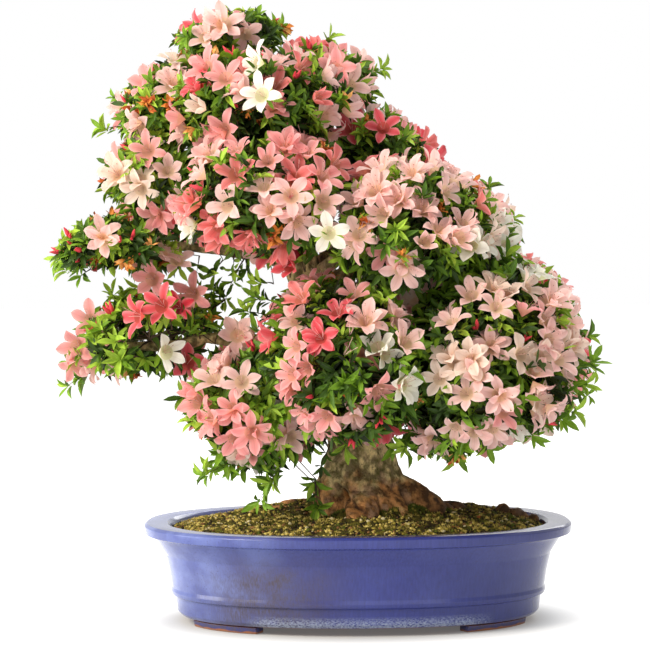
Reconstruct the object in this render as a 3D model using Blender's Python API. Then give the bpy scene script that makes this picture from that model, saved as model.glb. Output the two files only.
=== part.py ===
"""A satsuki azalea bonsai in full bloom, in a glazed oval pot.

Metres, +Z up. The plant is laid out about the middle of its pot, whose feet stand on Z = 0, and
the whole is then moved sideways so that its box is centred on the origin. The front is at -Y.
"""

import math
import random

import bmesh
import bpy
from mathutils import Matrix, Vector

GAP = 0.0003  # between pieces that touch
PLANT_PLACE = Vector((0.0430, -0.001, 0.0))  # of the middle of the pot, as the crown leans to -X

# Pot: an oval whose plan is a little squarer than an ellipse
POT_HALF_LENGTH = 0.260
POT_HALF_DEPTH = 0.197
POT_SQUARENESS = 2.3
POT_SIDES = 48
POT_BASE = 0.008
POT_FLOOR = 0.022
RIM_TOP = 0.120

# Each step of the wall: how far in from the pot's widest line, and how high
POT_OUTSIDE = (
    (0.052, POT_BASE),
    (0.044, 0.0095),
    (0.0398, 0.014),
    (0.0375, 0.0325),
    (0.0328, 0.0345),
    (0.0315, 0.0390),
    (0.0330, 0.0435),
    (0.0300, 0.0625),
    (0.0250, 0.0835),
    (0.0150, 0.1000),
    (0.0110, 0.1050),
    (0.0010, 0.1075),
    (0.0000, 0.1170),
)
POT_INSIDE = (
    (0.0035, RIM_TOP),
    (0.0280, 0.1195),
    (0.0315, 0.1160),
    (0.0350, 0.1060),
    (0.0460, 0.0700),
    (0.0540, 0.0300),
    (0.0620, POT_FLOOR),
)

# Feet: curved brackets under the four corners of the oval
FOOT_OUTER_INSET = 0.048
FOOT_INNER_INSET = 0.064
FOOT_TOE_IN = 0.002
FOOT_FROM_X = 0.125
FOOT_TO_X = 0.200
FOOT_STEPS = 8

# Soil: mounded towards the trunk, with a level patch that the trunk's flat cut stands on
SOIL_AT_WALL = 0.1120
SOIL_AT_TRUNK = 0.1250
SOIL_FIT = 0.0006
SOIL_LUMP = 0.0022
SOIL_RINGS = 4
PATCH_CENTRE = Vector((0.032, -0.002, 0.0))
PATCH_HALF_LENGTH = 0.108
PATCH_HALF_DEPTH = 0.086

# Trunk: its middle line and half width at each height, leaning up and to the left
TRUNK_SIDES = 28
TRUNK_BASE = SOIL_AT_TRUNK + GAP
TRUNK_LINE = (
    # X, Y, Z, half width
    (0.010, -0.002, TRUNK_BASE, 0.0530),
    (0.010, -0.002, 0.136, 0.0540),
    (0.008, -0.001, 0.148, 0.0530),
    (0.007, 0.000, 0.162, 0.0500),
    (0.005, 0.000, 0.178, 0.0455),
    (0.004, 0.000, 0.195, 0.0412),
    (0.002, 0.000, 0.222, 0.0355),
    (-0.006, 0.002, 0.256, 0.0330),
    (-0.022, 0.003, 0.300, 0.0300),
    (-0.040, 0.002, 0.345, 0.0265),
    (-0.056, 0.000, 0.400, 0.0225),
    (-0.070, -0.002, 0.450, 0.0190),
    (-0.086, -0.003, 0.500, 0.0160),
    (-0.102, -0.002, 0.550, 0.0130),
    (-0.118, 0.000, 0.600, 0.0102),
    (-0.131, 0.000, 0.636, 0.0080),
    (-0.136, 0.000, 0.654, 0.0068),
)
TRUNK_FLUTES = 5
TRUNK_FLUTE_DEPTH = 0.045  # of the half width
TRUNK_FLUTE_TWIST = 9.0  # radians for each metre of height
TRUNK_LEANS_FROM = 0.2  # the height above which its outlines tilt with its line

# Root flare: direction from the trunk in degrees from +X, reach past the trunk, half angle, height
ROOTS = (
    (-4.0, 0.046, 26.0, 0.050),
    (-52.0, 0.020, 24.0, 0.034),
    (-97.0, 0.028, 22.0, 0.034),
    (-150.0, 0.014, 26.0, 0.044),
    (176.0, 0.008, 24.0, 0.052),
    (128.0, 0.022, 26.0, 0.036),
    (62.0, 0.026, 26.0, 0.038),
    (14.0, 0.066, 13.0, 0.024),
)

# Boughs: tapering limbs from the trunk to the near side of the mass that they carry
BOUGH_POINTS = 4
BOUGH_NECK = 0.006  # the straight end that faces the stem of its mass
BOUGH_RISE = 0.020  # the bend between a bough's two ends
BOUGH_TAPER = 0.55
BOUGH_ENTERS = 0.66  # of the way from the middle of the mass to its edge

# Foliage: middle, half sizes, the height at which the bough leaves the trunk, its half width there
FOLIAGE = {
    "apex": ((-0.148, 0.000, 0.697), (0.108, 0.106, 0.052), None, None),
    "upper_left": ((-0.204, -0.004, 0.618), (0.102, 0.118, 0.082), 0.566, 0.0075),
    "upper_right": ((-0.048, 0.004, 0.646), (0.094, 0.118, 0.068), 0.590, 0.0070),
    "upper_front": ((-0.116, -0.108, 0.612), (0.120, 0.088, 0.088), 0.540, 0.0075),
    "upper_back": ((-0.110, 0.110, 0.614), (0.120, 0.090, 0.088), 0.552, 0.0075),
    "shoulder_right": ((0.020, -0.004, 0.556), (0.098, 0.132, 0.072), 0.505, 0.0085),
    "middle_left": ((-0.222, 0.000, 0.533), (0.118, 0.138, 0.084), 0.480, 0.0090),
    "left_shelf": ((-0.286, -0.014, 0.458), (0.100, 0.122, 0.041), 0.428, 0.0095),
    "middle_front_left": ((-0.106, -0.150, 0.512), (0.126, 0.108, 0.084), 0.452, 0.0090),
    "middle_back_left": ((-0.102, 0.152, 0.514), (0.126, 0.108, 0.084), 0.462, 0.0090),
    "middle_front_right": ((0.050, -0.144, 0.470), (0.124, 0.108, 0.096), 0.410, 0.0095),
    "middle_back_right": ((0.054, 0.144, 0.472), (0.124, 0.108, 0.096), 0.420, 0.0095),
    "middle_right": ((0.112, 0.000, 0.462), (0.108, 0.126, 0.082), 0.395, 0.0100),
    "centre_front": ((-0.008, -0.160, 0.328), (0.118, 0.104, 0.112), 0.300, 0.0110),
    "centre_back": ((-0.002, 0.162, 0.326), (0.118, 0.104, 0.112), 0.310, 0.0110),
    "right_front": ((0.138, -0.136, 0.324), (0.130, 0.114, 0.142), 0.272, 0.0120),
    "right_back": ((0.140, 0.136, 0.326), (0.130, 0.114, 0.142), 0.280, 0.0120),
    "lower_right": ((0.190, 0.000, 0.330), (0.110, 0.130, 0.136), 0.250, 0.0130),
    "lower_left_pad": ((-0.260, -0.030, 0.346), (0.114, 0.108, 0.060), 0.318, 0.0130),
    "lower_left": ((-0.120, -0.074, 0.266), (0.102, 0.116, 0.082), 0.246, 0.0110),
    "lower_back_left": ((-0.114, 0.090, 0.266), (0.106, 0.112, 0.078), 0.262, 0.0110),
}

# Inside a mass
SPACE_MARGIN = 0.0008  # each side of the plane between two masses
LIMB_CLEARANCE = 0.0018
LIMB_STEP = 0.006
CORE_SHARE = 0.85  # of the way to the mass's edge
CORE_ROUGHNESS = 0.06
STEM_SIDES = 6
STEM_TAPER = 0.7
SEED = 200
TWIG_DIRECTIONS = 19
TWIG_HALF_WIDTH = 0.0026
TWIG_TAPER = 1.4  # its root's half width over its end's
TWIG_FROM = 0.4  # of the way from the middle of the mass to its edge
TIP_AT = 0.995  # likewise
OPEN_SHARE = 0.9  # a twig that reaches less than this of the mass's own half size is hidden
BLOSSOM_EVERY = 3  # each third twig ends in a blossom, the others in leaves
BLOSSOM_RADIUS = 0.027
BLOSSOM_DEPTH = 0.030
BLOSSOM_THROAT = 0.010
BLOSSOM_NOTCH = 0.52  # of the radius
BLOSSOM_NOTCH_AT = 0.82  # of the depth
LEAF_LENGTH = 0.050
LEAF_WIDTH = 0.016
LEAF_WIDEST_AT = 0.44  # of its length
LEAF_THICKNESS = 0.0024
LEAF_ROOT_DEPTH = 0.010
LEAF_FORWARD = 0.020  # how far the end leaf reaches past its twig
END_LEAF_SPREAD = math.radians(6.0)
SIDE_LEAVES = 1
SIDE_LEAF_SPREAD = math.radians(46.0)
LEAST_ANGLE = math.radians(32.0)  # between two twigs
SLIDE_STEP = 0.004
SLIDE_STEPS = 6

# Colours, linear
GLAZE_BLUE = (0.09, 0.11, 0.42)
EARTH = (0.14, 0.11, 0.03)
BARK = (0.20, 0.15, 0.09)
LEAF_GREEN = (0.09, 0.25, 0.03)
PETAL_PINK = (0.86, 0.32, 0.34)


def clear_scene():
    for thing in list(bpy.data.objects):
        bpy.data.objects.remove(thing, do_unlink=True)


def principled(name, colour, roughness, metallic=0.0):
    material = bpy.data.materials.new(name)
    material.use_nodes = True
    shader = material.node_tree.nodes["Principled BSDF"]
    shader.inputs["Base Color"].default_value = (*colour, 1.0)
    shader.inputs["Roughness"].default_value = roughness
    shader.inputs["Metallic"].default_value = metallic
    return material


def mesh_object(name, shape, materials, collection):
    """An object in a collection, from a closed bmesh that is turned outside out and used up."""
    if shape.calc_volume(signed=True) < 0.0:
        bmesh.ops.reverse_faces(shape, faces=shape.faces[:])
    mesh = bpy.data.meshes.new(name)
    shape.to_mesh(mesh)
    shape.free()
    for material in materials:
        mesh.materials.append(material)
    thing = bpy.data.objects.new(name, mesh)
    collection.objects.link(thing)
    return thing


def loft(rings):
    """A closed body through rings of equal counts, which differ in outline, with flat ends."""
    shape = bmesh.new()
    loops = [[shape.verts.new(point) for point in ring] for ring in rings]
    count = len(loops[0])
    for lower, upper in zip(loops, loops[1:]):
        for i in range(count):
            j = (i + 1) % count
            shape.faces.new((lower[i], lower[j], upper[j], upper[i]))
    shape.faces.new(reversed(loops[0]))
    shape.faces.new(loops[-1])
    return shape


def smooth(thing, degrees=35.0):
    thing.data.shade_smooth()
    thing.data.set_sharp_from_angle(angle=math.radians(degrees))


def oval_point(angle, inset, height):
    """A point of the pot's plan, at an even inset from its widest line."""
    power = 2.0 / POT_SQUARENESS
    across, along = math.cos(angle), math.sin(angle)
    x = math.copysign(abs(across) ** power, across) * (POT_HALF_LENGTH - inset)
    y = math.copysign(abs(along) ** power, along) * (POT_HALF_DEPTH - inset)
    return Vector((x, y, height))


def turns(count):
    return [2.0 * math.pi * i / count for i in range(count)]


def oval_ring(inset, height):
    return [oval_point(angle, inset, height) for angle in turns(POT_SIDES)]


def make_pot(material, collection):
    rings = [oval_ring(inset, height) for inset, height in (*POT_OUTSIDE, *POT_INSIDE)]
    pot = mesh_object("pot", loft(rings), [material], collection)
    smooth(pot)


def foot_angle(x):
    """Where on the oval a foot's end lies, in the quarter at +X and +Y."""
    share = x / (POT_HALF_LENGTH - FOOT_OUTER_INSET)
    return math.acos(share ** (POT_SQUARENESS / 2.0))


def make_feet(material, collection):
    start, end = foot_angle(FOOT_TO_X), foot_angle(FOOT_FROM_X)
    angles = [start + (end - start) * i / FOOT_STEPS for i in range(FOOT_STEPS + 1)]
    for side, across in (("left", -1.0), ("right", 1.0)):
        for end_name, along in (("front", -1.0), ("back", 1.0)):
            rings = []
            for height, toe in ((0.0, FOOT_TOE_IN), (POT_BASE - GAP, 0.0)):
                outer = [oval_point(a, FOOT_OUTER_INSET + toe, height) for a in angles]
                inner = [oval_point(a, FOOT_INNER_INSET, height) for a in reversed(angles)]
                ring = [Vector((p.x * across, p.y * along, p.z)) for p in outer + inner]
                rings.append(ring)
            foot = mesh_object(f"pot_foot_{end_name}_{side}", loft(rings), [material], collection)
            smooth(foot)


def make_soil(material, collection):
    """A plug that fills the pot: down its inner wall, over its floor, and mounded on top."""
    chance = random.Random(11)
    patch = []
    for angle in turns(POT_SIDES):
        x = PATCH_CENTRE.x + PATCH_HALF_LENGTH * math.cos(angle)
        y = PATCH_CENTRE.y + PATCH_HALF_DEPTH * math.sin(angle)
        patch.append(Vector((x, y, SOIL_AT_TRUNK)))
    wall = POT_INSIDE[3:]
    rings = [oval_ring(inset + SOIL_FIT, height + GAP) for inset, height in reversed(wall)]
    edge = oval_ring(wall[0][0] + SOIL_FIT, SOIL_AT_WALL)
    for k in range(SOIL_RINGS + 1):
        share = k / SOIL_RINGS
        rise = math.sin(0.5 * math.pi * share)
        ring = []
        for outer, inner in zip(edge, patch):
            point = outer.lerp(inner, share)
            lump = chance.uniform(-SOIL_LUMP, SOIL_LUMP) if 0 < k < SOIL_RINGS else 0.0
            point.z = SOIL_AT_WALL + (SOIL_AT_TRUNK - SOIL_AT_WALL) * rise + lump
            ring.append(point)
        rings.append(ring)
    soil = mesh_object("soil", loft(rings), [material], collection)
    smooth(soil)


def along_trunk(height):
    """The trunk's middle and half width at a height."""
    for low, high in zip(TRUNK_LINE, TRUNK_LINE[1:]):
        if height <= high[2]:
            share = (height - low[2]) / (high[2] - low[2])
            mixed = [a + (b - a) * share for a, b in zip(low, high)]
            return Vector(mixed[:3]), mixed[3]
    return Vector(TRUNK_LINE[-1][:3]), TRUNK_LINE[-1][3]


def root_reach(angle, height):
    """How far the root flare stands out past the trunk, in a direction and at a height."""
    reach = 0.0
    for degrees, length, half_angle, rise in ROOTS:
        turn = math.remainder(angle - math.radians(degrees), 2.0 * math.pi)
        across = abs(turn) / math.radians(half_angle)
        up = (height - TRUNK_BASE) / rise
        if across < 1.0 and up < 1.0:
            reach = max(reach, length * (1.0 - up * up) * math.cos(0.5 * math.pi * across))
    return reach


def trunk_rings(extra=0.0):
    """The trunk's outline at each height, level at the cut and square to its line above."""
    rings = []
    last = len(TRUNK_LINE) - 1
    for i, (x, y, z, half_width) in enumerate(TRUNK_LINE):
        below = Vector(TRUNK_LINE[max(i - 1, 0)][:3])
        above = Vector(TRUNK_LINE[min(i + 1, last)][:3])
        lean = (above - below).normalized() if z > TRUNK_LEANS_FROM else Vector((0.0, 0.0, 1.0))
        tilt = Vector((0.0, 0.0, 1.0)).rotation_difference(lean)
        ring = []
        for angle in turns(TRUNK_SIDES):
            flute = 1.0 + TRUNK_FLUTE_DEPTH * math.cos(TRUNK_FLUTES * angle + TRUNK_FLUTE_TWIST * z)
            reach = half_width * flute + root_reach(angle, z) + extra
            spoke = Vector((math.cos(angle) * reach, math.sin(angle) * reach, 0.0))
            ring.append(Vector((x, y, z)) + tilt @ spoke)
        rings.append(ring)
    return rings


def make_trunk(material, collection, cutters):
    """The trunk, and a slightly fatter copy of it that cuts the boughs' ends to its surface."""
    trunk = mesh_object("trunk", loft(trunk_rings()), [material], collection)
    smooth(trunk, 50.0)
    clearance = mesh_object("trunk_clearance", loft(trunk_rings(GAP)), [], cutters)
    clearance.hide_render = True
    clearance.display_type = "WIRE"
    return clearance


def ellipsoid_reach(half_sizes, direction):
    """How far an ellipsoid reaches from its middle in a direction."""
    return 1.0 / Vector([d / h for d, h in zip(direction, half_sizes)]).length


def bough_line(name):
    """A bough's points and half widths, from inside the trunk to the mass that it carries."""
    middle, half_sizes, height, half_width = FOLIAGE[name]
    middle = Vector(middle)
    start, _ = along_trunk(height)
    heading = (middle - (start + Vector((0.0, 0.0, BOUGH_RISE)))).normalized()
    tip = middle - heading * ellipsoid_reach(half_sizes, heading) * BOUGH_ENTERS
    neck = tip - heading * BOUGH_NECK
    bend = neck - heading * 0.5 * (neck - start).length
    line = []
    for i in range(BOUGH_POINTS):
        t = i / (BOUGH_POINTS - 1)
        point = start.lerp(bend, t).lerp(bend.lerp(neck, t), t)
        line.append((point, half_width * (1.0 - (1.0 - BOUGH_TAPER) * t)))
    line.append((tip, half_width * BOUGH_TAPER))
    return line


def make_bough(name, material, collection, clearance):
    """One limb as a tapering curve, made a mesh and cut off where the trunk's surface is."""
    line = bough_line(name)
    curve = bpy.data.curves.new("bough", "CURVE")
    curve.dimensions = "3D"
    curve.bevel_depth = 1.0
    curve.bevel_resolution = 1
    curve.use_fill_caps = True
    spline = curve.splines.new("POLY")
    spline.points.add(len(line) - 1)
    for place, (point, half_width) in zip(spline.points, line):
        place.co = (*point, 1.0)
        place.radius = half_width
    limb = bpy.data.objects.new("bough_curve", curve)
    collection.objects.link(limb)
    graph = bpy.context.evaluated_depsgraph_get()
    mesh = bpy.data.meshes.new_from_object(limb.evaluated_get(graph), depsgraph=graph)
    bpy.data.objects.remove(limb, do_unlink=True)
    bpy.data.curves.remove(curve)
    shape = bmesh.new()
    shape.from_mesh(mesh)
    bmesh.ops.remove_doubles(shape, verts=shape.verts[:], dist=0.00005)
    bpy.data.meshes.remove(mesh)
    bough = mesh_object(f"bough_{name}", shape, [material], collection)
    smooth(bough, 50.0)
    cut = bough.modifiers.new("seat on trunk", "BOOLEAN")
    cut.operation = "DIFFERENCE"
    cut.object = clearance


class Space:
    """The room that one mass keeps to: an ellipsoid cut by planes, so it bulges everywhere."""

    def __init__(self, middle, half_sizes):
        self.middle = Vector(middle)
        self.half_sizes = Vector(half_sizes)
        self.planes = []

    def cut(self, point, outward):
        self.planes.append((outward.normalized(), point))

    def reach(self, direction):
        """How far it is from the middle to the edge of the space."""
        distance = ellipsoid_reach(self.half_sizes, direction)
        for outward, point in self.planes:
            slope = outward.dot(direction)
            if slope > 1e-6:
                distance = min(distance, outward.dot(point - self.middle) / slope)
        return distance

    def holds(self, points):
        for point in points:
            offset = point - self.middle
            distance = offset.length
            if distance > 1e-6 and distance > self.reach(offset / distance):
                return False
        return True


def limb_samples(points):
    """Close-set points along a limb, with its half width at each."""
    samples = []
    for (start, first), (end, last) in zip(points, points[1:]):
        steps = max(1, math.ceil((end - start).length / LIMB_STEP))
        for i in range(steps + 1):
            share = i / steps
            samples.append((start.lerp(end, share), first + (last - first) * share))
    return samples


def make_spaces():
    """Each mass's space, kept off its neighbours by a plane, and off every limb but its own."""
    spaces = {name: Space(row[0], row[1]) for name, row in FOLIAGE.items()}
    for name, space in spaces.items():
        for other_name, other in spaces.items():
            if other_name == name:
                continue
            between = other.middle - space.middle
            toward = between.normalized()
            mine = ellipsoid_reach(space.half_sizes, toward)
            theirs = ellipsoid_reach(other.half_sizes, toward)
            share = mine / (mine + theirs)
            space.cut(space.middle + between * share - toward * SPACE_MARGIN, toward)
    trunk_points = [(Vector((x, y, z)), half) for x, y, z, half in TRUNK_LINE]
    limbs = {"apex": limb_samples(trunk_points)}
    for name, row in FOLIAGE.items():
        if row[2] is not None:
            line = bough_line(name)
            limbs[name] = limb_samples(line)
    for name, space in spaces.items():
        for owner, samples in limbs.items():
            if owner == name:
                continue
            tip, half_width = samples[-1]
            stem = limb_samples([(tip, half_width), (spaces[owner].middle, half_width)])
            for point, half_width in samples + stem:
                outward = (point - space.middle).normalized()
                near = point - outward * (half_width + LIMB_CLEARANCE)
                space.cut(near, outward)
        tip, half_width = limbs[name][-1]
        inward = (tip - space.middle).normalized()
        space.stem_start = tip - inward * GAP
        space.cut(space.stem_start, inward)
        space.stem_half_width = half_width
    return spaces


def facing(direction, roll=0.0):
    """The turn that takes +Z to a direction."""
    turn = Vector((0.0, 0.0, 1.0)).rotation_difference(direction).to_matrix().to_4x4()
    return turn @ Matrix.Rotation(roll, 4, "Z")


def add_piece(pieces, shape, slot=0):
    for face in shape.faces:
        face.material_index = slot
    pieces.append(shape)


def cone_between(start, end, first, last, sides):
    """A straight tapering twig with closed ends."""
    shape = bmesh.new()
    along = end - start
    place = Matrix.Translation(start.lerp(end, 0.5)) @ facing(along.normalized())
    bmesh.ops.create_cone(
        shape,
        cap_ends=True,
        segments=sides,
        radius1=first,
        radius2=last,
        depth=along.length,
        matrix=place,
    )
    return shape


def double_cone(sides, outline, place):
    """Two low cones base to base: outline moves each corner, and place sets the whole down."""
    shape = bmesh.new()
    bmesh.ops.create_uvsphere(shape, u_segments=sides, v_segments=2, radius=1.0)
    for corner in shape.verts:
        corner.co = place @ outline(corner.co.copy())
    return shape


def leaf_shape(root, direction, roll):
    """A lance-shaped leaf of eight faces, widest a little below its middle."""

    def outline(corner):
        along = 0.5 * LEAF_LENGTH * (corner.z + 1.0)
        if abs(corner.z) < 0.5:
            along = LEAF_WIDEST_AT * LEAF_LENGTH
        return Vector((corner.x * 0.5 * LEAF_WIDTH, corner.y * 0.5 * LEAF_THICKNESS, along))

    return double_cone(4, outline, Matrix.Translation(root) @ facing(direction, roll))


def blossom_shape(base, direction, roll):
    """A five-petalled funnel: petal tips and notches round a sunk throat, above a pointed base."""

    def outline(corner):
        if corner.z > 0.5:
            return Vector((0.0, 0.0, BLOSSOM_DEPTH - BLOSSOM_THROAT))
        if corner.z < -0.5:
            return Vector((0.0, 0.0, 0.0))
        step = round(math.atan2(corner.y, corner.x) / (math.pi / 5.0))
        is_tip = step % 2 == 0
        radius = BLOSSOM_RADIUS * (1.0 if is_tip else BLOSSOM_NOTCH)
        height = BLOSSOM_DEPTH if is_tip else BLOSSOM_DEPTH * BLOSSOM_NOTCH_AT
        return Vector((corner.x * radius, corner.y * radius, height))

    return double_cone(10, outline, Matrix.Translation(base) @ facing(direction, roll))


def even_directions(count, turn):
    """Directions spread evenly over a sphere, by the golden angle."""
    golden = math.pi * (3.0 - math.sqrt(5.0))
    directions = []
    for i in range(count):
        z = 1.0 - 2.0 * (i + 0.5) / count
        across = math.sqrt(1.0 - z * z)
        angle = golden * i + turn
        directions.append(Vector((across * math.cos(angle), across * math.sin(angle), z)))
    return directions


def core_shape(space, chance):
    """The dense inside of a mass, which its twigs stand out of."""
    shape = bmesh.new()
    bmesh.ops.create_icosphere(shape, subdivisions=2, radius=1.0)
    for corner in shape.verts:
        direction = corner.co.normalized()
        share = CORE_SHARE + chance.uniform(-CORE_ROUGHNESS, CORE_ROUGHNESS)
        corner.co = space.middle + direction * space.reach(direction) * share
    return shape


def fitted(space, twig_end, heading, make):
    """The shape that make gives at the furthest point back along a twig where the space holds it."""
    for i in range(SLIDE_STEPS):
        shape = make(twig_end - heading * SLIDE_STEP * i)
        if space.holds([corner.co for corner in shape.verts]):
            return shape
        shape.free()
    return None


def leaf_maker(heading, spread, around, roll, sunk):
    """Makes a leaf that spreads from a twig, with its root sunk back through the twig."""
    side = heading.orthogonal().normalized()
    side.rotate(Matrix.Rotation(around, 3, heading))
    direction = (heading * math.cos(spread) + side * math.sin(spread)).normalized()

    def make(place):
        return leaf_shape(place - direction * sunk, direction, roll)

    return make


def open_directions(space, chance):
    """The ways out of a mass that no neighbour closes, with its furthest side and its top first."""
    trunk, _ = along_trunk(space.middle.z)
    outward = (space.middle - trunk).normalized()
    ways = [outward, Vector((0.0, 0.0, 1.0))]
    for way in even_directions(TWIG_DIRECTIONS, chance.uniform(0.0, math.pi)):
        if all(way.angle(kept) > LEAST_ANGLE for kept in ways):
            ways.append(way)
    kept = []
    for way in ways:
        if space.reach(way) > OPEN_SHARE * ellipsoid_reach(space.half_sizes, way):
            kept.append(way)
    return kept


def grow_mass(space, chance):
    """A stem, a core, and twigs to the open sides that end in leaves or in a blossom."""
    pieces = []
    stem = cone_between(
        space.stem_start,
        space.middle,
        space.stem_half_width,
        space.stem_half_width * STEM_TAPER,
        STEM_SIDES,
    )
    add_piece(pieces, stem)
    add_piece(pieces, core_shape(space, chance))
    for number, heading in enumerate(open_directions(space, chance)):
        reach = space.reach(heading)
        blooms = number % BLOSSOM_EVERY == 1
        tip = space.middle + heading * (reach * TIP_AT)
        roll = chance.uniform(0.0, math.pi)
        twig_end = tip - heading * (BLOSSOM_DEPTH if blooms else LEAF_FORWARD)
        root = space.middle + heading * reach * TWIG_FROM
        twig = cone_between(root, twig_end, TWIG_HALF_WIDTH * TWIG_TAPER, TWIG_HALF_WIDTH, 3)
        add_piece(pieces, twig)
        makers = []
        if blooms:
            makers.append((lambda place: blossom_shape(place, heading, roll), 1))
        else:
            sunk = LEAF_LENGTH - LEAF_FORWARD
            makers.append((leaf_maker(heading, END_LEAF_SPREAD, roll, roll, sunk), 0))
        for i in range(SIDE_LEAVES):
            around = roll + 2.0 * math.pi * (i + 0.5) / SIDE_LEAVES
            spread = SIDE_LEAF_SPREAD * chance.uniform(0.75, 1.15)
            turned = chance.uniform(0.0, math.pi)
            makers.append((leaf_maker(heading, spread, around, turned, LEAF_ROOT_DEPTH), 0))
        for make, slot in makers:
            piece = fitted(space, twig_end, heading, make)
            if piece:
                add_piece(pieces, piece, slot)
    return pieces


def islands(shape):
    """The faces of each separate surface in a shape."""
    left = set(shape.faces)
    found = []
    while left:
        seed = left.pop()
        island, edge = [seed], [seed]
        while edge:
            face = edge.pop()
            for side in face.edges:
                for neighbour in side.link_faces:
                    if neighbour in left:
                        left.remove(neighbour)
                        island.append(neighbour)
                        edge.append(neighbour)
        found.append(island)
    return found


def keep_main_body(mesh):
    """Fills sealed hollows and drops loose scraps: only the largest surface stays."""
    shape = bmesh.new()
    shape.from_mesh(mesh)
    surfaces = sorted(islands(shape), key=len)
    for scrap in surfaces[:-1]:
        bmesh.ops.delete(shape, geom=scrap, context="FACES")
    shape.to_mesh(mesh)
    shape.free()


def fuse(name, shapes, materials, collection):
    """Joins the pieces of a mass into one closed body."""
    loose = bpy.data.collections.new(f"{name}_pieces")
    bpy.context.scene.collection.children.link(loose)
    body = mesh_object(name, shapes[0], materials, collection)
    for shape in shapes[1:]:
        mesh_object(f"{name}_piece", shape, materials, loose)
    join = body.modifiers.new("join", "BOOLEAN")
    join.operation = "UNION"
    join.operand_type = "COLLECTION"
    join.collection = loose
    join.solver = "MANIFOLD"
    graph = bpy.context.evaluated_depsgraph_get()
    fused = bpy.data.meshes.new_from_object(body.evaluated_get(graph), depsgraph=graph)
    body.modifiers.clear()
    keep_main_body(fused)
    body.data = fused
    for piece in list(loose.objects):
        bpy.data.objects.remove(piece, do_unlink=True)
    bpy.data.collections.remove(loose)
    return body


def make_foliage(materials, collection):
    for number, (name, space) in enumerate(make_spaces().items()):
        pieces = grow_mass(space, random.Random(SEED + number))
        fuse(f"foliage_{name}", pieces, materials, collection)


def main():
    clear_scene()
    plant = bpy.data.collections.new("azalea_bonsai")
    cutters = bpy.data.collections.new("cutters")
    for collection in (plant, cutters):
        bpy.context.scene.collection.children.link(collection)

    glaze = principled("blue pot glaze", GLAZE_BLUE, 0.22)
    earth = principled("mossy soil", EARTH, 0.95)
    bark = principled("azalea bark", BARK, 0.85)
    leaves = principled("azalea leaves", LEAF_GREEN, 0.5)
    petals = principled("azalea petals", PETAL_PINK, 0.6)

    make_pot(glaze, plant)
    make_feet(glaze, plant)
    make_soil(earth, plant)
    clearance = make_trunk(bark, plant, cutters)
    for name, row in FOLIAGE.items():
        if row[2] is not None:
            make_bough(name, bark, plant, clearance)
    make_foliage([leaves, petals], plant)

    frame = bpy.data.objects.new("plant_frame", None)
    plant.objects.link(frame)
    frame.location = PLANT_PLACE
    for thing in (*plant.objects, *cutters.objects):
        if thing is not frame:
            thing.parent = frame


main()
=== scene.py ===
"""Dresses the azalea bonsai: its glazed pot, mossy soil, bark, twigs, leaves and blossom.

Metres, +Z up, front at -Y. The plant is laid out about the middle of its pot, by the same named
sizes as the part's own source, and each finished mesh is then moved by PLANT_PLACE into the frame.
"""

import functools
import math

import bmesh
import bpy
import numpy as np
from bpy.props import FloatProperty, FloatVectorProperty, IntProperty, PointerProperty
from bpy.types import Operator, Panel, PropertyGroup
from mathutils import Matrix, Vector, noise
from mathutils.kdtree import KDTree


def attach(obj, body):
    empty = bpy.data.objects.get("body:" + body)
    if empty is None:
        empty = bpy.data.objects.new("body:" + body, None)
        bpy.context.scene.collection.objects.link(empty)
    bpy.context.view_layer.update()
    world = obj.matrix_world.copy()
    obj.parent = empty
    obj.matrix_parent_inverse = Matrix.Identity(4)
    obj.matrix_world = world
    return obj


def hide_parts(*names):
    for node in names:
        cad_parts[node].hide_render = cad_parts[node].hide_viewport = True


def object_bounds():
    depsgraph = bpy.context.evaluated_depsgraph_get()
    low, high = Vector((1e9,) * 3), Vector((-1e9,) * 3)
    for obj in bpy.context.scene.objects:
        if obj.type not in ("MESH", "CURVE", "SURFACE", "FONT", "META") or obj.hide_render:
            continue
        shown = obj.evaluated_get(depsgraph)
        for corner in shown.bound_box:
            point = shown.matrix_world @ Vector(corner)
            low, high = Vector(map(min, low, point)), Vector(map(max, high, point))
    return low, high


bl_info = {
    "name": "Azalea bonsai dresser",
    "version": (1, 0, 0),
    "blender": (4, 5, 0),
    "location": "3D View > Sidebar > Azalea",
    "description": "Gives the packed azalea bonsai its glaze, soil, bark, twigs, leaves and bloom",
    "category": "Object",
}

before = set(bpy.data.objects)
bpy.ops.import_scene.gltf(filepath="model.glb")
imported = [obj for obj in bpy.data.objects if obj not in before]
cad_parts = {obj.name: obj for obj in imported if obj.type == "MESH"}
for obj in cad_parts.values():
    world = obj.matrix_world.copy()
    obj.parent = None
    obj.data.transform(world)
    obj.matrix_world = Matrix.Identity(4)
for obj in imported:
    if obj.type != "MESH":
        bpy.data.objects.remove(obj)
CAD_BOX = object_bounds()

MM = 0.001
UP = Vector((0.0, 0.0, 1.0))
PLANT_PLACE = Vector((0.0430, -0.001, 0.0))
PIECE_TRIANGLES = 190_000  # the most that one joined piece holds

# Pot, as in the part's source
POT_HALF_LENGTH = 0.260
POT_HALF_DEPTH = 0.197
POT_SQUARENESS = 2.3
POT_BASE = 0.008
POT_FLOOR = 0.022
RIM_TOP = 0.120
POT_PROFILE = (
    # How far in from the pot's widest line, and how high
    (0.0520, POT_BASE),
    (0.0440, 0.0095),
    (0.0398, 0.0140),
    (0.0375, 0.0325),
    (0.0328, 0.0345),
    (0.0315, 0.0390),
    (0.0330, 0.0435),
    (0.0300, 0.0625),
    (0.0250, 0.0835),
    (0.0150, 0.1000),
    (0.0110, 0.1050),
    (0.0010, 0.1075),
    (0.0000, 0.1170),
    (0.0035, RIM_TOP),
    (0.0280, 0.1195),
    (0.0315, 0.1160),
    (0.0350, 0.1060),
    (0.0460, 0.0700),
    (0.0540, 0.0300),
    (0.0620, POT_FLOOR),
)
FEET = ("front_left", "front_right", "back_left", "back_right")

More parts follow.
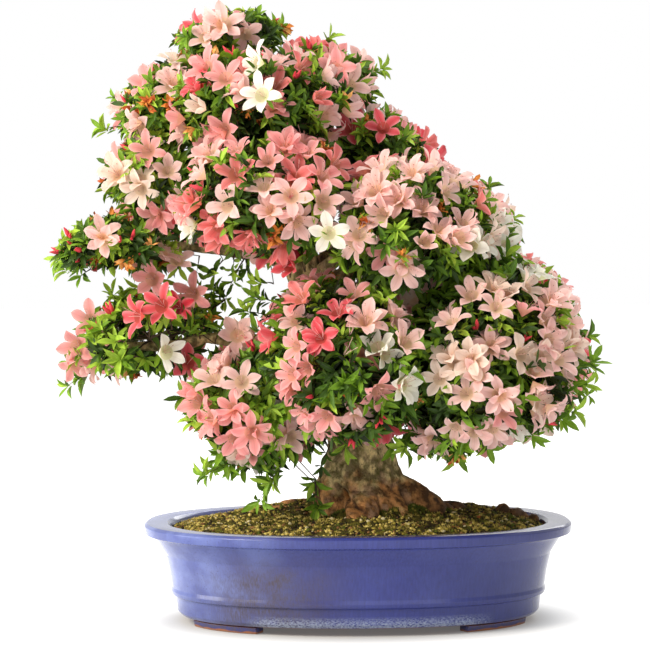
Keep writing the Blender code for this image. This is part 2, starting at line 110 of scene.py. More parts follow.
# Soil, as in the part's source
SOIL_AT_WALL = 0.1120
SOIL_AT_TRUNK = 0.1250
SOIL_INSET = 0.0334
PATCH_CENTRE = Vector((0.032, -0.002, 0.0))
PATCH_HALF_LENGTH = 0.108
PATCH_HALF_DEPTH = 0.086
PATCH_SHARE = 0.62  # how far from the wall to the middle the patch begins
SOIL_EDGE_SHARE = 0.24  # over which the moss rises from the wall
LUMP_HEIGHT = 0.0042
ROUGH_NOISE = (0.8, 2.1)  # how much fainter and how much finer each step of relief is

# Mounds of moss on the soil: middle, half sizes and height
MOSS_MOUNDS = (
    (-0.070, 0.050, 0.090, 0.060, 0.0100),
    (-0.030, -0.080, 0.075, 0.040, 0.0045),
    (0.075, -0.050, 0.070, 0.050, 0.0055),
    (0.130, 0.070, 0.080, 0.045, 0.0060),
)

# Deep green cushions of moss against the trunk: middle, half size, height
MOSS_CUSHIONS = (
    (-0.020, -0.054, 0.012, 0.0070),
    (0.036, -0.052, 0.015, 0.0085),
    (0.072, -0.040, 0.013, 0.0065),
    (0.060, -0.047, 0.011, 0.0050),
    (-0.046, 0.036, 0.016, 0.0070),
    (0.020, 0.062, 0.018, 0.0080),
    (0.100, -0.012, 0.012, 0.0040),
)

# Trunk, as in the part's source: its middle line and half width
TRUNK_BASE = 0.1253
TRUNK_LINE = (
    # X, Y, Z, half width
    (0.010, -0.002, TRUNK_BASE, 0.0530),
    (0.010, -0.002, 0.136, 0.0540),
    (0.008, -0.001, 0.148, 0.0530),
    (0.007, 0.000, 0.162, 0.0500),
    (0.005, 0.000, 0.178, 0.0455),
    (0.004, 0.000, 0.195, 0.0412),
    (0.002, 0.000, 0.222, 0.0355),
    (-0.006, 0.002, 0.256, 0.0330),
    (-0.022, 0.003, 0.300, 0.0300),
    (-0.040, 0.002, 0.345, 0.0265),
    (-0.056, 0.000, 0.400, 0.0225),
    (-0.070, -0.002, 0.450, 0.0190),
    (-0.086, -0.003, 0.500, 0.0160),
    (-0.102, -0.002, 0.550, 0.0130),
    (-0.118, 0.000, 0.600, 0.0102),
    (-0.131, 0.000, 0.636, 0.0080),
    (-0.136, 0.000, 0.654, 0.0068),
)
TRUNK_FLUTES = 5
TRUNK_FLUTE_DEPTH = 0.045
TRUNK_FLUTE_TWIST = 9.0

# Root flare: degrees from +X, reach past the trunk, half angle in degrees, height
ROOTS = (
    (-4.0, 0.046, 26.0, 0.050),
    (-52.0, 0.020, 24.0, 0.034),
    (-97.0, 0.028, 22.0, 0.034),
    (-150.0, 0.014, 26.0, 0.044),
    (176.0, 0.008, 24.0, 0.052),
    (128.0, 0.022, 26.0, 0.036),
    (62.0, 0.026, 26.0, 0.038),
    (14.0, 0.066, 13.0, 0.024),
)

# Clefts in the trunk: from degrees and height, to degrees and height, half width, depth
CLEFTS = (
    (-131.0, 0.163, -108.0, 0.146, 0.0036, 0.0160),
    (-108.0, 0.146, -86.0, 0.128, 0.0048, 0.0180),
    (-64.0, 0.154, -56.0, 0.128, 0.0050, 0.0045),
    (-152.0, 0.168, -146.0, 0.127, 0.0035, 0.0045),
    (-26.0, 0.166, -34.0, 0.127, 0.0055, 0.0055),
    (100.0, 0.160, 92.0, 0.127, 0.0045, 0.0060),
    (150.0, 0.175, 156.0, 0.127, 0.0045, 0.0060),
    (38.0, 0.160, 40.0, 0.127, 0.0045, 0.0055),
)
# Burls: degrees, height, half size, how far each stands out
BURLS = (
    (-160.0, 0.166, 0.013, 0.0060),
    (-140.0, 0.172, 0.010, 0.0050),
    (-152.0, 0.150, 0.010, 0.0040),
    (-118.0, 0.170, 0.011, 0.0040),
    (-100.0, 0.166, 0.009, 0.0030),
    (-112.0, 0.134, 0.011, 0.0060),
    (-74.0, 0.160, 0.016, 0.0040),
    (-20.0, 0.160, 0.014, 0.0035),
    (170.0, 0.158, 0.014, 0.0045),
    (60.0, 0.165, 0.013, 0.0045),
)
# Root knobs that stand out of the soil: middle, and half sizes
ROOT_KNOBS = (
    ((0.116, 0.046, 0.1255), (0.0190, 0.013, 0.0130)),
    ((0.181, 0.040, 0.1180), (0.0120, 0.012, 0.0150)),
    ((0.198, 0.038, 0.1155), (0.0150, 0.012, 0.0130)),
    ((0.218, 0.030, 0.1140), (0.0070, 0.007, 0.0080)),
    ((-0.070, 0.060, 0.1335), (0.0240, 0.010, 0.0065)),
    ((-0.095, 0.030, 0.1290), (0.0180, 0.008, 0.0060)),
)

# Boughs, as in the part's source
BOUGH_RISE = 0.020
BOUGH_NECK = 0.006
BOUGH_TAPER = 0.55
BOUGH_ENTERS = 0.66

# Foliage, as in the part's source: middle, half sizes, bough's height on the trunk, its half width
FOLIAGE = {
    "apex": ((-0.148, 0.000, 0.697), (0.108, 0.106, 0.052), None, None),
    "upper_left": ((-0.204, -0.004, 0.618), (0.102, 0.118, 0.082), 0.566, 0.0075),
    "upper_right": ((-0.048, 0.004, 0.646), (0.094, 0.118, 0.068), 0.590, 0.0070),
    "upper_front": ((-0.116, -0.108, 0.612), (0.120, 0.088, 0.088), 0.540, 0.0075),
    "upper_back": ((-0.110, 0.110, 0.614), (0.120, 0.090, 0.088), 0.552, 0.0075),
    "shoulder_right": ((0.020, -0.004, 0.556), (0.098, 0.132, 0.072), 0.505, 0.0085),
    "middle_left": ((-0.222, 0.000, 0.533), (0.118, 0.138, 0.084), 0.480, 0.0090),
    "left_shelf": ((-0.286, -0.014, 0.458), (0.100, 0.122, 0.041), 0.428, 0.0095),
    "middle_front_left": ((-0.106, -0.150, 0.512), (0.126, 0.108, 0.084), 0.452, 0.0090),
    "middle_back_left": ((-0.102, 0.152, 0.514), (0.126, 0.108, 0.084), 0.462, 0.0090),
    "middle_front_right": ((0.050, -0.144, 0.470), (0.124, 0.108, 0.096), 0.410, 0.0095),
    "middle_back_right": ((0.054, 0.144, 0.472), (0.124, 0.108, 0.096), 0.420, 0.0095),
    "middle_right": ((0.112, 0.000, 0.462), (0.108, 0.126, 0.082), 0.395, 0.0100),
    "centre_front": ((-0.008, -0.160, 0.328), (0.118, 0.104, 0.112), 0.300, 0.0110),
    "centre_back": ((-0.002, 0.162, 0.326), (0.118, 0.104, 0.112), 0.310, 0.0110),
    "right_front": ((0.138, -0.136, 0.324), (0.130, 0.114, 0.142), 0.272, 0.0120),
    "right_back": ((0.140, 0.136, 0.326), (0.130, 0.114, 0.142), 0.280, 0.0120),
    "lower_right": ((0.190, 0.000, 0.330), (0.110, 0.130, 0.136), 0.250, 0.0130),
    "lower_left_pad": ((-0.260, -0.030, 0.346), (0.114, 0.108, 0.060), 0.318, 0.0130),
    "lower_left": ((-0.120, -0.074, 0.266), (0.102, 0.116, 0.082), 0.246, 0.0110),
    "lower_back_left": ((-0.114, 0.090, 0.266), (0.106, 0.112, 0.078), 0.262, 0.0110),
}
SPACE_MARGIN = 0.0008
LIMB_CLEARANCE = 0.0018
LIMB_STEP = 0.006
SEED = 200
BLOOM_SEED = 297

# Masses that the photo shows thinner: share of the usual twigs, and of the usual blossom
THIN_MASSES = {
    "apex": (1.0, 0.60),
    "upper_left": (1.0, 0.50),
    "upper_front": (1.0, 0.68),
    "upper_right": (1.0, 0.75),
    "centre_front": (1.0, 0.85),
    "left_shelf": (0.75, 0.15),
    "lower_left_pad": (0.34, 0.10),
    "lower_left": (0.85, 0.45),
}

# Outline of the crown as the camera sees it, in the trunk's plane: height, left edge, right edge
CROWN_OUTLINE = (
    (0.750, -0.150, -0.110),
    (0.735, -0.183, -0.095),
    (0.705, -0.229, -0.034),
    (0.675, -0.249, 0.026),
    (0.645, -0.280, 0.024),
    (0.615, -0.303, 0.054),
    (0.585, -0.285, 0.087),
    (0.555, -0.295, 0.117),
    (0.525, -0.321, 0.165),
    (0.495, -0.330, 0.187),
    (0.465, -0.356, 0.205),
    (0.440, -0.378, 0.230),
    (0.420, -0.372, 0.252),
    (0.402, -0.300, 0.260),
    (0.385, -0.310, 0.275),
    (0.345, -0.334, 0.270),
    (0.315, -0.362, 0.295),
    (0.300, -0.351, 0.287),
    (0.283, -0.285, 0.288),
    (0.270, -0.221, 0.275),
    (0.240, -0.214, 0.256),
    (0.225, -0.195, 0.252),
    (0.208, -0.176, 0.180),
    (0.190, -0.180, 0.125),
    (0.165, -0.122, 0.077),
)
OUTLINE_EASE = 0.004

# Sky that the photo shows through the crown, in the same plane: middle X and Z, half sizes
SKY_GAPS = (
    (-0.137, 0.405, 0.017, 0.031),
    (-0.153, 0.366, 0.010, 0.020),
    (-0.176, 0.366, 0.008, 0.014),
    (-0.306, 0.420, 0.038, 0.012),
)

# Places where the camera sees into the crown: middle and half sizes in the trunk's plane,
# and the depth in front of which nothing grows
OPENINGS = (
    (-0.202, 0.337, 0.062, 0.015, 0.004),
)

# Sprays that hang or stand clear of the masses, as the camera sees them in the trunk's plane: how
# far back, root X and Z, tip X and Z, leaves, and the number of its petal in PETALS or None
LOOSE_SPRAYS = (
    (-0.200, -0.111, 0.619, -0.108, 0.634, 4, 5),
    (-0.165, -0.111, 0.660, -0.108, 0.675, 4, 5),
    (-0.236, -0.038, 0.454, -0.035, 0.471, 4, 5),
    (-0.170, -0.081, 0.416, -0.078, 0.433, 4, 3),
    (-0.165, -0.063, 0.423, -0.064, 0.441, 4, 4),
    (-0.150, -0.100, 0.433, -0.103, 0.450, 4, 3),
    (0.000, -0.252, 0.619, -0.291, 0.634, 7, None),
    (0.000, -0.271, 0.600, -0.306, 0.597, 8, None),
    (0.000, -0.277, 0.558, -0.299, 0.555, 6, None),
    (0.000, -0.149, 0.716, -0.153, 0.743, 7, None),
    (0.000, -0.130, 0.719, -0.134, 0.741, 6, None),
    (0.000, -0.045, 0.698, -0.031, 0.706, 6, None),
    (0.000, 0.010, 0.661, 0.032, 0.669, 8, None),
    (0.000, 0.150, 0.503, 0.162, 0.525, 8, None),
    (0.000, 0.175, 0.478, 0.192, 0.486, 6, None),
    (0.000, -0.197, 0.277, -0.212, 0.271, 6, None),
    (-0.100, -0.179, 0.259, -0.201, 0.243, 7, None),
    (-0.120, 0.120, 0.234, 0.123, 0.201, 7, None),
    (0.000, 0.266, 0.314, 0.293, 0.299, 7, None),
    (0.000, 0.254, 0.283, 0.284, 0.270, 6, None),
    (-0.050, 0.230, 0.265, 0.250, 0.241, 7, None),
    (-0.100, 0.181, 0.247, 0.188, 0.226, 6, None),
    (-0.020, 0.248, 0.350, 0.282, 0.341, 6, None),
    (-0.120, -0.128, 0.236, -0.128, 0.209, 3, 1),
    (-0.110, -0.130, 0.201, -0.186, 0.176, 7, None),
    (-0.110, -0.147, 0.216, -0.157, 0.189, 6, None),
    (-0.115, -0.085, 0.201, -0.107, 0.166, 7, None),
    (-0.112, -0.107, 0.166, -0.119, 0.143, 3, None),
    (-0.110, -0.108, 0.216, -0.116, 0.197, 6, None),
    (-0.120, -0.033, 0.226, -0.025, 0.236, 8, None),
    (-0.072, -0.050, 0.162, -0.049, 0.133, 5, None),
    (-0.120, -0.074, 0.265, -0.083, 0.258, 3, 5),
    (-0.120, -0.130, 0.265, -0.146, 0.260, 3, 0),
    (-0.120, -0.173, 0.275, -0.192, 0.275, 4, 1),
    (-0.150, 0.254, 0.299, 0.287, 0.311, 8, None),
    (-0.130, 0.248, 0.275, 0.278, 0.283, 7, None),
    (-0.120, 0.236, 0.253, 0.265, 0.250, 6, None),
    (-0.120, 0.199, 0.241, 0.214, 0.221, 6, None),
    (-0.120, 0.059, 0.231, 0.058, 0.208, 6, None),
    (-0.120, 0.150, 0.234, 0.158, 0.211, 6, None),
    (-0.030, -0.135, 0.441, -0.160, 0.389, 6, None),
    (-0.035, -0.160, 0.389, -0.172, 0.402, 7, None),
    (-0.035, -0.160, 0.389, -0.179, 0.383, 6, None),
    (-0.040, -0.162, 0.438, -0.174, 0.421, 5, None),
    (-0.040, -0.149, 0.443, -0.150, 0.426, 4, None),
    (-0.040, -0.135, 0.441, -0.133, 0.426, 4, None),
    (-0.050, -0.101, 0.409, -0.118, 0.409, 4, None),
    (-0.050, -0.101, 0.387, -0.121, 0.391, 6, None),
    (-0.050, -0.101, 0.365, -0.133, 0.375, 6, None),
    (-0.060, -0.106, 0.348, -0.122, 0.350, 5, 6),
    (-0.060, -0.128, 0.330, -0.145, 0.341, 5, 0),
    (-0.055, -0.173, 0.336, -0.167, 0.353, 3, None),
    (-0.055, -0.191, 0.342, -0.199, 0.365, 6, None),
    (0.000, -0.201, 0.342, -0.184, 0.365, 6, None),
    (-0.060, -0.216, 0.450, -0.219, 0.431, 4, 0),
    (-0.060, -0.252, 0.438, -0.246, 0.416, 4, 1),
    (-0.050, -0.264, 0.443, -0.263, 0.434, 3, 1),
    (-0.040, -0.257, 0.428, -0.263, 0.405, 5, None),
    (-0.040, -0.191, 0.443, -0.195, 0.421, 5, None),
    (-0.045, -0.196, 0.414, -0.194, 0.397, 5, 1),
    (-0.030, -0.311, 0.438, -0.360, 0.441, 7, None),
    (-0.035, -0.318, 0.433, -0.355, 0.427, 7, None),
    (-0.030, -0.328, 0.448, -0.350, 0.456, 5, None),
    (-0.030, -0.323, 0.428, -0.335, 0.420, 4, None),
    (-0.034, -0.291, 0.443, -0.308, 0.433, 5, None),
    (-0.128, -0.252, 0.348, -0.255, 0.370, 5, 3),
    (-0.120, -0.225, 0.354, -0.231, 0.380, 5, 3),
    (-0.030, -0.277, 0.355, -0.297, 0.398, 6, None),
    (-0.030, -0.280, 0.360, -0.283, 0.394, 5, None),
    (-0.040, -0.294, 0.344, -0.322, 0.364, 6, 1),
    (-0.045, -0.299, 0.332, -0.336, 0.336, 5, 1),
    (-0.045, -0.299, 0.326, -0.350, 0.314, 5, 1),
    (-0.035, -0.268, 0.332, -0.333, 0.298, 7, None),
    (-0.035, -0.323, 0.302, -0.352, 0.286, 5, None),
    (-0.035, -0.280, 0.332, -0.280, 0.310, 5, None),
    (-0.030, -0.240, 0.332, -0.236, 0.316, 5, None),
    (-0.020, -0.213, 0.332, -0.207, 0.311, 4, 3),
    (-0.030, -0.306, 0.343, -0.323, 0.354, 6, None),
    (-0.010, -0.252, 0.360, -0.268, 0.391, 7, None),
    (0.020, -0.233, 0.362, -0.240, 0.395, 7, None),
    (0.030, -0.274, 0.355, -0.286, 0.386, 7, None),
    (-0.060, -0.207, 0.354, -0.213, 0.380, 4, 4),
    (-0.066, -0.031, 0.216, -0.053, 0.166, 8, None),
    (-0.070, -0.051, 0.170, -0.049, 0.138, 5, None),
    (-0.100, 0.022, 0.228, 0.043, 0.209, 5, None),
    (-0.100, 0.040, 0.223, 0.064, 0.205, 6, None),
    (-0.095, 0.101, 0.236, 0.103, 0.212, 3, 3),
    (-0.095, 0.109, 0.219, 0.121, 0.197, 6, None),
    (-0.090, 0.133, 0.243, 0.130, 0.223, 3, 3),
    (-0.060, 0.171, 0.241, 0.164, 0.216, 7, None),
    (-0.050, 0.181, 0.243, 0.195, 0.223, 5, None),
    (-0.100, -0.075, 0.243, -0.074, 0.214, 3, 1),
    (-0.090, -0.052, 0.231, -0.060, 0.209, 5, None),
    (-0.090, -0.085, 0.204, -0.103, 0.170, 7, None),
    (-0.090, -0.103, 0.170, -0.121, 0.143, 4, None),
    (-0.085, -0.128, 0.212, -0.142, 0.187, 6, None),
    (-0.080, -0.160, 0.212, -0.177, 0.183, 6, None),
    (-0.085, -0.142, 0.206, -0.155, 0.182, 6, None),
    (-0.080, -0.020, 0.228, -0.014, 0.209, 5, None),
    (-0.085, 0.077, 0.228, 0.082, 0.209, 5, None),
    (-0.070, 0.138, 0.228, 0.143, 0.211, 5, None),
)

# Camera, fitted to the photo about the middle of the pot
CAMERA_PLACE = Vector((-0.1041, -3.000, 0.4514))
CAMERA_AIM = Vector((-0.0387, 0.000, 0.3579))
CAMERA_ROLL = -0.0056
CAMERA_LENS = 136.46  # millimetres on a 36 mm sensor
LAMP_AIM = Vector((-0.03, 0.0, 0.35))


def clamped(value):
    """A value held between 0 and 1."""
    return min(1.0, max(0.0, value))


def linear(code):
    """An sRGB hex colour as linear red, green and blue."""
    channels = [int(code[i : i + 2], 16) / 255.0 for i in (1, 3, 5)]
    return tuple(c / 12.92 if c <= 0.04045 else ((c + 0.055) / 1.055) ** 2.4 for c in channels)


def colour(name, description, code):
    """A colour that a user may change."""
    return FloatVectorProperty(
        name=name,
        description=description,
        subtype="COLOR",
        size=3,
        min=0.0,
        max=1.0,
        default=linear(code),
    )


def length(name, description, default):
    """A size in metres that a user may change."""
    return FloatProperty(
        name=name, description=description, unit="LENGTH", min=0.0, default=default, precision=4
    )


class PotSettings(PropertyGroup):
    """The glazed oval pot and its feet."""

    sides: IntProperty(name="Sides", description="Steps round the oval", default=168, min=48)
    edge: length("Edge rounding", "How far the glaze rounds each edge", 0.0008)
    glaze: colour("Glaze", "Cobalt where the glaze lies thick", "#292F70")
    # Painted light: this paler blue is laid over the left end of the pot, which faces the light
    painted_light_glaze: colour("Thin glaze", "Paler blue where it breaks over edges", "#7A89C2")
    mottling: colour("Mottling", "Brown-grey body that shows through", "#443C42")
    bloom: colour("Mineral bloom", "White left by water near the foot", "#9DA8BA")
    clay: colour("Bare clay", "Unglazed foot edges", "#8A5636")


class SoilSettings(PropertyGroup):
    """The mounded soil, its moss and its grit."""

    grains: IntProperty(
        name="Grains", description="How many crumbs lie on the soil", default=5600, min=0
    )
    grain: length("Grain size", "Usual width of a crumb", 0.0048)
    tufts: IntProperty(
        name="Moss tufts",
        description="How many upright moss tufts stand on it",
        default=5200,
        min=0,
    )
    earth: colour("Earth", "Damp soil between the moss", "#2C2312")
    moss: colour("Moss", "Olive moss", "#6C6426")


class BarkSettings(PropertyGroup):
    """The bark of the trunk and boughs."""

    sides: IntProperty(name="Trunk sides", description="Steps round the trunk", default=220, min=28)
    ridge: length("Ridge depth", "How deep the sinewy swellings of the trunk are", 0.0030)
    flake: length("Flake depth", "How deep the small flakes are", 0.0013)
    upper: colour("Upper bark", "Grey-olive bark under lichen", "#C2AC78")
    moss: colour("Bark moss", "Green film on the upper bark", "#4E4C1E")
    lower: colour("Lower bark", "Red-brown bark of the root flare", "#9A6C40")
    cleft: colour("Clefts", "Deep shade between ridges", "#2A1C14")


class LeafSettings(PropertyGroup):
    """Twigs and leaves."""

    spacing: length("Tip spacing", "Between the ends of neighbouring twigs", 0.0205)
    leaf: length("Leaf length", "Usual length of a leaf", 0.0255)
    width: length("Leaf width", "Usual width of a leaf", 0.0074)
    twig: length("Twig half width", "Of a leafy twig at its root", 0.0011)


class BlossomSettings(PropertyGroup):
    """Open flowers, buds and faded flowers."""

    spacing: length("Blossom spacing", "Least distance between flowering twigs", 0.0295)
    share: FloatProperty(
        name="In bloom", description="Share of free twig ends in flower", default=0.85, min=0, max=1
    )
    size: FloatProperty(
        name="Flower size", description="Against a flower 48 mm across", default=0.90, min=0.1
    )


def shade(tone, factor):
    """A colour made darker or lighter."""
    return tuple(min(1.0, c * factor) for c in tone)


def node(tree, kind, *inputs, out=0, **settings):
    """Adds a shader node with its settings and inputs, in order or by key; gives one output."""
    made = tree.nodes.new("ShaderNode" + kind)
    for key, value in settings.items():
        setattr(made, key, value)
    keyed = inputs[0] if inputs and isinstance(inputs[0], dict) else dict(enumerate(inputs))
    for key, value in keyed.items():
        socket = made.inputs[key]
        if isinstance(value, bpy.types.NodeSocket):
            tree.links.new(value, socket)
        elif socket.type == "RGBA":
            socket.default_value = (*value, 1.0)
        else:
            socket.default_value = value
    return made.outputs[out] if made.outputs else None


def started(name, roughness, **values):
    """A new material with its tree and its shader, whose even values are set on its own sockets."""
    made = bpy.data.materials.new(name)
    made.use_nodes = True
    tree = made.node_tree
    shader = tree.nodes["Principled BSDF"]
    shader.inputs["Roughness"].default_value = roughness
    for key, value in values.items():
        shader.inputs[key.replace("_", " ")].default_value = value
    return made, tree, shader


def place_along(tree, axis, source="Object"):
    """One coordinate of the place in the frame, or of the piece's own UV map."""
    return node(tree, "SeparateXYZ", node(tree, "TexCoord", out=source), out=axis)


def pattern(tree, size, low, high, stretch=(1.0, 1.0, 1.0), detail=4.0, low_out=0.0, high_out=1.0):
    """Cloudy noise with features of a real size, stretched, and cut between two levels."""
    place = node(tree, "TexCoord", out="Object")
    turned = node(tree, "Mapping", {"Vector": place, "Scale": [1.0 / s for s in stretch]})
    cloud = node(tree, "TexNoise", {"Vector": turned, "Scale": 1.0 / size, "Detail": detail})
    return node(tree, "MapRange", cloud, low, high, low_out, high_out)


def layered(tree, base, *layers):
    """A base colour with others laid over it in turn, each by its own share."""
    for share, tone in layers:
        base = node(tree, "Mix", {0: share, 6: base, 7: tone}, out=2, data_type="RGBA")
    return base


def finished(name, mesh, materials, nodes=()):
    """A piece in the frame: its mesh moved into place, its materials and its body; the named nodes
    are hidden.
    """
    for material in materials:
        mesh.materials.append(material)
    mesh.shade_smooth()
    mesh.transform(Matrix.Translation(PLANT_PLACE))
    piece = bpy.data.objects.new(name, mesh)
    bpy.context.scene.collection.objects.link(piece)
    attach(piece, "root")
    if nodes:
        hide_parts(*nodes)
    return piece


def mesh_of(name, shape):
    """A mesh from a bmesh, which is used up."""
    mesh = bpy.data.meshes.new(name)
    shape.to_mesh(mesh)
    shape.free()
    return mesh


def oval_point(angle, inset, height):
    """A point of the pot's plan, at an even inset from its widest line."""
    power = 2.0 / POT_SQUARENESS
    across, along = math.cos(angle), math.sin(angle)
    x = math.copysign(abs(across) ** power, across) * (POT_HALF_LENGTH - inset)
    y = math.copysign(abs(along) ** power, along) * (POT_HALF_DEPTH - inset)
    return Vector((x, y, height))


def smooth_line(points, steps):
    """A smooth curve through points of any dimension, by Catmull and Rom's rule."""
    rows = [np.asarray(point, float) for point in points]
    rows = [2 * rows[0] - rows[1], *rows, 2 * rows[-1] - rows[-2]]
    line = []
    for a, b, c, d in zip(rows, rows[1:], rows[2:], rows[3:]):
        for i in range(steps):
            t = i / steps
            square = (2 * a - 5 * b + 4 * c - d) * t * t
            line.append(0.5 * (2 * b + (c - a) * t + square + (3 * b - a - 3 * c + d) * t**3))
    line.append(rows[-2])
    return np.array(line)


def wrapped(columns, rows, place):
    """A grid bent into a closed skin: place gives the point at a share round and a row."""
    shape = bmesh.new()
    bmesh.ops.create_grid(shape, x_segments=columns, y_segments=rows, size=1.0)
    for corner in shape.verts:
        share = 0.5 * (corner.co.x + 1.0)
        row = round(0.5 * (corner.co.y + 1.0) * rows)
        corner.co = place(0.0 if share > 1.0 - 1e-5 else share, row)
    bmesh.ops.remove_doubles(shape, verts=shape.verts[:], dist=1e-6)
    rims = [edge for edge in shape.edges if edge.is_boundary]
    bmesh.ops.holes_fill(shape, edges=rims, sides=0)
    bmesh.ops.recalc_face_normals(shape, faces=shape.faces[:])
    return shape


# Settings of Map Range and Math nodes
SMOOTH = {"interpolation_type": "SMOOTHSTEP"}
PRODUCT = {"operation": "MULTIPLY"}


def glaze_material(settings):
    """Stoneware in a dipped cobalt glaze: glossy, streaked where it ran, brown-grey where thin."""
    made, tree, shader = started("cobalt dipped stoneware glaze", 0.2, IOR=1.40)
    across, height = place_along(tree, "X"), place_along(tree, "Z")
    own = settings.glaze
    # Runs about 2 mm wide and some 30 mm long, as a dipped glaze leaves
    runs = pattern(tree, 2.2 * MM, 0.35, 0.68, (1.0, 1.0, 14.0), 3.0)
    # Painted shade: the glaze is darker towards the right end, which is turned away from the light
    painted_shade_right = node(tree, "MapRange", across, 0.05, 0.24, 0.0, 0.42, **SMOOTH)
    # Painted light: the left end, which faces the light, is paler, in clouds of 60 mm
    cloud = pattern(tree, 60.0 * MM, 0.36, 0.66, (1.0, 1.0, 0.7), 5.0, 0.35)
    lit_left_end = node(tree, "MapRange", across, 0.02, -0.19, 0.06, 0.85, **SMOOTH)
    pale = node(tree, "Math", cloud, lit_left_end, **PRODUCT)
    # The brown-grey body shows through left of the middle, softly, in a fine upright grain
    patch = node(tree, "MapRange", across, 0.055, -0.06, **SMOOTH)
    for share in (
        node(tree, "MapRange", across, -0.185, -0.085, **SMOOTH),
        node(tree, "MapRange", height, 0.104, 0.066, 0.10, 1.0),
        pattern(tree, 1.6 * MM, 0.30, 0.66, (1.0, 1.0, 4.0), 6.0, 0.50),
        pattern(tree, 22.0 * MM, 0.30, 0.62, low_out=0.55),
    ):
        patch = node(tree, "Math", patch, share, **PRODUCT)
    # Pin holes and specks of 2 mm everywhere
    pins = pattern(tree, 2.0 * MM, 0.62, 0.70, detail=2.0, high_out=0.35)
    # Mineral bloom up to 24 mm, brushed sideways, only along the middle of each long side
    bloom = pattern(tree, 1.8 * MM, 0.34, 0.64, (1.4, 1.4, 0.8), 10.0, high_out=0.85)
    for value, start, end in (
        (height, 0.0240, 0.0120),
        (height, 0.0085, 0.0105),
        (across, -0.095, -0.065),
        (across, 0.200, 0.165),
    ):
        bloom = node(tree, "Math", bloom, node(tree, "MapRange", value, start, end), **PRODUCT)
    # The glaze thins to brown over the lowest edge, in spots of 14 mm
    spots = pattern(tree, 14.0 * MM, 0.35, 0.55, low_out=0.3)
    rust = node(tree, "Math", node(tree, "MapRange", height, 0.0102, 0.0088), spots, **PRODUCT)
    base = layered(
        tree,
        shade(own, 0.88),
        (runs, shade(own, 1.16)),
        (painted_shade_right, shade(own, 0.42)),
        (pale, settings.painted_light_glaze),
        (patch, settings.mottling),
        (pins, shade(settings.mottling, 0.6)),
        (bloom, settings.bloom),
        (rust, settings.clay),
    )
    tree.links.new(base, shader.inputs["Base Color"])
    dull = node(tree, "Math", bloom, rust, operation="MAXIMUM")
    tree.links.new(node(tree, "MapRange", dull, 0.0, 1.0, 0.16, 0.75), shader.inputs["Roughness"])
    # A faint orange peel of 5 mm
    peel = pattern(tree, 5.0 * MM, 0.2, 0.8, (1.0, 1.0, 2.0), 2.0)
    bump = node(tree, "Bump", {"Strength": 0.10, "Distance": 0.0006, "Height": peel})
    tree.links.new(bump, shader.inputs["Normal"])
    return made


def foot_material(settings):
    """The same glaze, worn and dusty, wiped off the lowest millimetre, where clay shows brown."""
    made, tree, shader = started("wiped stoneware foot", 0.5, IOR=1.5)
    height = place_along(tree, "Z")
    # The wiped line wanders by about a millimetre
    wander = pattern(tree, 12.0 * MM, 0.3, 0.7, low_out=-0.0012, high_out=0.0010)
    line = node(tree, "Math", height, wander, operation="ADD")
    base = layered(
        tree,
        settings.glaze,
        (pattern(tree, 3.0 * MM, 0.36, 0.60, (1.0, 1.0, 1.0), 5.0, 0.1, 0.75), settings.mottling),
        (node(tree, "MapRange", height, 0.0066, 0.0076, 0.0, 0.55), settings.clay),
        (node(tree, "MapRange", line, 0.0026, 0.0012), settings.clay),
    )
    tree.links.new(base, shader.inputs["Base Color"])
    return made


def round_edges(piece, degrees, width, segments):
    """Rounds every edge of a piece that is sharper than an angle."""
    rounding = piece.modifiers.new("rounded edges", "BEVEL")
    rounding.limit_method = "ANGLE"
    rounding.angle_limit = math.radians(degrees)
    rounding.width = width
    rounding.segments = segments


def make_pot(settings):
    """The pot: a turned profile, spun, then squared into its oval, with every edge rounded."""
    shape = bmesh.new()
    profile = [
        shape.verts.new((POT_HALF_LENGTH - inset, 0.0, height)) for inset, height in POT_PROFILE
    ]
    edges = [shape.edges.new(pair) for pair in zip(profile, profile[1:])]
    bmesh.ops.spin(
        shape,
        geom=profile + edges,
        cent=(0.0, 0.0, 0.0),
        axis=(0.0, 0.0, 1.0),
        dvec=(0.0, 0.0, 0.0),
        angle=2.0 * math.pi,
        steps=settings.sides,
        use_merge=True,
        use_duplicate=False,
    )
    bmesh.ops.remove_doubles(shape, verts=shape.verts[:], dist=1e-6)
    for corner in shape.verts:
        inset = POT_HALF_LENGTH - math.hypot(corner.co.x, corner.co.y)
        corner.co = oval_point(math.atan2(corner.co.y, corner.co.x), inset, corner.co.z)
    rims = [edge for edge in shape.edges if edge.is_boundary]
    bmesh.ops.holes_fill(shape, edges=rims, sides=0)
    bmesh.ops.recalc_face_normals(shape, faces=shape.faces[:])
    pot = finished(
        "glazed_pot", mesh_of("glazed_pot", shape), [glaze_material(settings)], ["pot"]
    )
    round_edges(pot, 14.0, settings.edge, 3)


def make_foot(corner_name, settings, material):
    """A foot: the CAD foot's own form, merged, with its edges worn round."""
    name = f"pot_foot_{corner_name}"
    shape = bmesh.new()
    shape.from_mesh(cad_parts[name].data)
    bmesh.ops.remove_doubles(shape, verts=shape.verts[:], dist=1e-6)
    bmesh.ops.dissolve_limit(
        shape, angle_limit=math.radians(1.0), verts=shape.verts[:], edges=shape.edges[:]
    )
    for corner in shape.verts:
        corner.co -= PLANT_PLACE
    mesh = mesh_of(f"glazed_foot_{corner_name}", shape)
    mesh.materials.clear()
    foot = finished(f"glazed_foot_{corner_name}", mesh, [material], [name])
    round_edges(foot, 30.0, settings.edge, 2)


def moss_height(x, y):
    """How far the moss stands over the plain soil."""
    rise = 0.0
    for middle_x, middle_y, half, height in MOSS_CUSHIONS:
        rise += height * math.exp(-(((x - middle_x) ** 2 + (y - middle_y) ** 2) / half**2) ** 2)
    for middle_x, middle_y, half_x, half_y, height in MOSS_MOUNDS:
        away = ((x - middle_x) / half_x) ** 2 + ((y - middle_y) / half_y) ** 2
        rise += height * math.exp(-away)
    return rise


